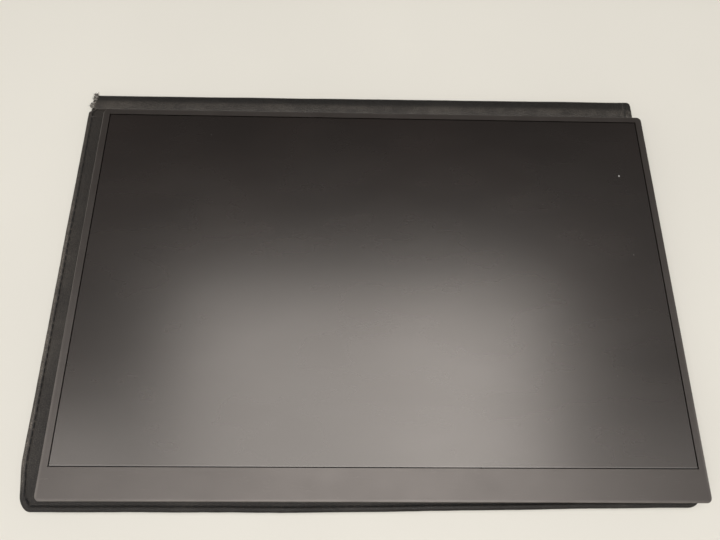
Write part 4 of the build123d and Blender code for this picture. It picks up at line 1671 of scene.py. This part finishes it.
@dataclass(frozen=True)
class Folio:
    """The magnetic folio: rear panel, spine and the cover's two halves, with their creases.

    Each panel holds where it starts and ends along Y and along Z.
    """

    x0: float = -184.425
    x1: float = 183.975
    rear: Four = (-131.05, 112.4, 2.5, 4.7)
    near_half: Four = (5.975, 128.7, 0.0, 2.2)
    far_half: Four = (-117.25, 2.975, 0.0, 2.2)
    spine_crease: Four = (111.7, 118.0, 2.5, 4.72)
    stand_crease: Four = (2.5, 6.45, 0.02, 2.19)
    crease_share: float = 0.3

    def plan(self, y0: float, y1: float, near_share: float = 1.0) -> Plan:
        """Gives the outline of a panel whose far side is a crease."""
        return Plan(self.x0, self.x1, y0, y1, near_share, self.crease_share)

    def panels(self) -> tuple[FolioPanel, FolioPanel, FolioPanel]:
        """Lists the stiff panels.

        Returns:
            The rear panel, the cover's near half and its far half.
        """
        rear = FolioPanel(
            "rear_panel",
            "folio_back",
            self.plan(*self.rear[:2]),
            *self.rear[2:],
            ("rear_outer_skin", "rear_hem", "rear_lining"),
            (LEATHER, LEATHER),
            far_corner=0.6,
            swell=(-0.01, 0.15),
            pressed=2.8,
            drawn=2.8,
        )
        near = FolioPanel(
            "cover_near",
            "cover_near",
            self.plan(*self.near_half[:2], self.crease_share),
            *self.near_half[2:],
            ("cover_near_lining", "cover_near_hem", "cover_near_skin"),
            (LINING, LEATHER),
            near_hem=False,
        )
        far = FolioPanel(
            "cover_far",
            "cover_far",
            self.plan(*self.far_half[:2]),
            *self.far_half[2:],
            ("cover_far_lining", "cover_far_hem", "cover_far_skin"),
            (LINING, LEATHER),
            far_corner=0.6,
            pressed=2.2,
        )
        return rear, near, far

    def creases(self, rear: FolioPanel, near: FolioPanel) -> tuple[CreaseSkin, CreaseSkin]:
        """Lists the two strips that bend.

        Args:
            rear: The panel whose hem runs on over the spine's crease.
            near: The panel whose hem runs on over the stand's crease.

        Returns:
            The strips.
        """
        spine = CreaseSkin(
            "spine_crease_skin",
            ("folio_back", "spine"),
            "spine_crease",
            rear,
            self.spine_crease[:2],
            self.spine_crease[2:],
            (112.4, 117.4),
            under=0.6,
            tuck=0.55,
            left_cut=(114.8, 118.0, 3.6),
        )
        stand = CreaseSkin(
            "stand_crease_skin",
            ("cover_near", "cover_far"),
            "stand_crease",
            near,
            self.stand_crease[:2],
            self.stand_crease[2:],
            (5.975, 2.975),
            dip=0.45,
        )
        return spine, stand

    def build(self) -> None:
        """Makes every piece of the folio."""
        rear, near, far = self.panels()
        for piece in (rear, near, far, SpineSleeve(), FrayedEnd(), *self.creases(rear, near)):
            piece.build()


@dataclass(frozen=True)
class Dresser:
    """Gives every CAD node the finish of its material slot."""

    finishes: dict[str, Finish]

    def build(self, record: dict, nodes: dict[str, bpy.types.Object]) -> None:
        """Assigns the finishes.

        Args:
            record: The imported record.
            nodes: The CAD nodes' objects.
        """
        for part in record["subparts"]:
            node = nodes[part["node"]]
            material = self.finishes[part["material_slot"]].material()
            if not node.material_slots:
                node.data.materials.append(material)
            for slot in node.material_slots:
                slot.material = material
            LOG.info("%s: finish %s", node.name, material.name)


@dataclass(frozen=True)
class SoftBox:
    """A soft lamp: its name, place, aim and size in metres, and its power in watts."""

    name: str
    place: Point
    aim: Point
    size: Span
    power: float

    def hang(self) -> None:
        """Hangs the lamp in the scene, facing its aim."""
        data = bpy.data.lights.new(self.name, "AREA")
        data.shape = "RECTANGLE"
        data.size, data.size_y = self.size
        data.energy = self.power
        made = add_object(self.name, data)
        made.location = self.place
        away = Vector(self.place) - Vector(self.aim)
        made.rotation_euler = away.to_track_quat("Z", "Y").to_euler()


@dataclass(frozen=True)
class Studio:
    """The pale table, the soft light and the camera at the photograph's place.

    The eye is in millimetres, and right and down are the directions of the picture's axes.
    """

    floor_size: float = 5.0
    floor_cells: int = 8
    floor_z: float = -0.15
    zenith: float = 0.3
    far_wall: float = 0.045
    lens: float = 27.25
    sensor: float = 36.0
    clip: Span = (0.01, 50.0)
    eye: Point = (-8.641, -101.948, 320.368)
    right: Point = (0.999742, 0.004116, 0.022336)
    down: Point = (0.011085, -0.94678, -0.32169)
    lamps: tuple[SoftBox, ...] = (
        SoftBox("ceiling_box", (0.04, -0.1, 1.45), (0.04, -0.1, 0.0), (1.2, 1.05), 14.3),
        SoftBox("window_box", (0.36, -0.1, 1.43), (0.36, -0.1, 0.0), (0.4, 1.05), 1.6),
        SoftBox("left_box", (-0.9, -0.42, 1.43), (-0.9, -0.42, 0.0), (0.45, 0.8), 3.6),
        SoftBox("right_box", (1.0, -0.42, 1.43), (1.0, -0.42, 0.0), (0.45, 0.8), 1.4),
        SoftBox("fill_box", (-1.6, -1.2, 1.6), (0.0, 0.0, 0.0), (1.6, 1.6), 5.5),
    )

    def camera(self) -> None:
        """Sets the camera where the photograph was taken from."""
        data = bpy.data.cameras.new("photo_camera")
        data.sensor_width = self.sensor
        data.lens = self.lens
        data.clip_start, data.clip_end = self.clip
        right = Vector(self.right).normalized()
        back = right.cross(-Vector(self.down).normalized()).normalized()
        turn = Matrix((right, back.cross(right), back)).transposed().to_4x4()
        made = add_object("photo_camera", data)
        made.matrix_world = Matrix.Translation(Vector(self.eye) * MM) @ turn
        bpy.context.scene.camera = made

    def floor(self) -> None:
        """Lays the table top."""
        bm = bmesh.new()
        cells, half = self.floor_cells, self.floor_size / 2
        bmesh.ops.create_grid(bm, x_segments=cells, y_segments=cells, size=half)
        mesh = bpy.data.meshes.new("table_top")
        bm.to_mesh(mesh)
        bm.free()
        mesh.transform(Matrix.Translation((0.0, 0.0, self.floor_z * MM)))
        finish = TableTop("table_laminate", Tone.FLOOR.value, Tone.BACKDROP.value)
        mesh.materials.append(finish.material())
        add_object("table_top", mesh)

    def world(self) -> None:
        """Fills the surroundings: pale at the horizon, dimmer overhead and dark at the far wall."""
        made = bpy.data.worlds.new("studio_world")
        bpy.context.scene.world = made
        made.use_nodes = True
        g = Graph(made.node_tree)
        ray = g.node("ShaderNodeTexCoord", {}, {}, "Generated")
        height, away = (g.node("ShaderNodeSeparateXYZ", {}, {0: ray}, axis) for axis in "ZY")
        overhead = g.mix((self.zenith,) * 3, (self.far_wall,) * 3, away.ease(0.28, 0.6))
        shade = g.mix(Tone.BACKDROP.value, overhead, height.ease(0.05, 0.6))
        light = g.node("ShaderNodeBackground", {}, {"Color": shade, "Strength": 1.0})
        g.close(light, "ShaderNodeOutputWorld")

    def build(self) -> None:
        """Sets up the whole studio."""
        self.camera()
        self.floor()
        self.world()
        for lamp in self.lamps:
            lamp.hang()


def main() -> None:
    """Builds the studio and every sub-assembly in order."""
    logging.basicConfig(level=logging.INFO, format="%(message)s")
    bpy.context.scene.view_settings.view_transform = "Standard"
    Studio().build()
    Dresser(FINISHES).build(frame["record"], frame["nodes"])
    Folio().build()


if __name__ == "__main__":
    main()
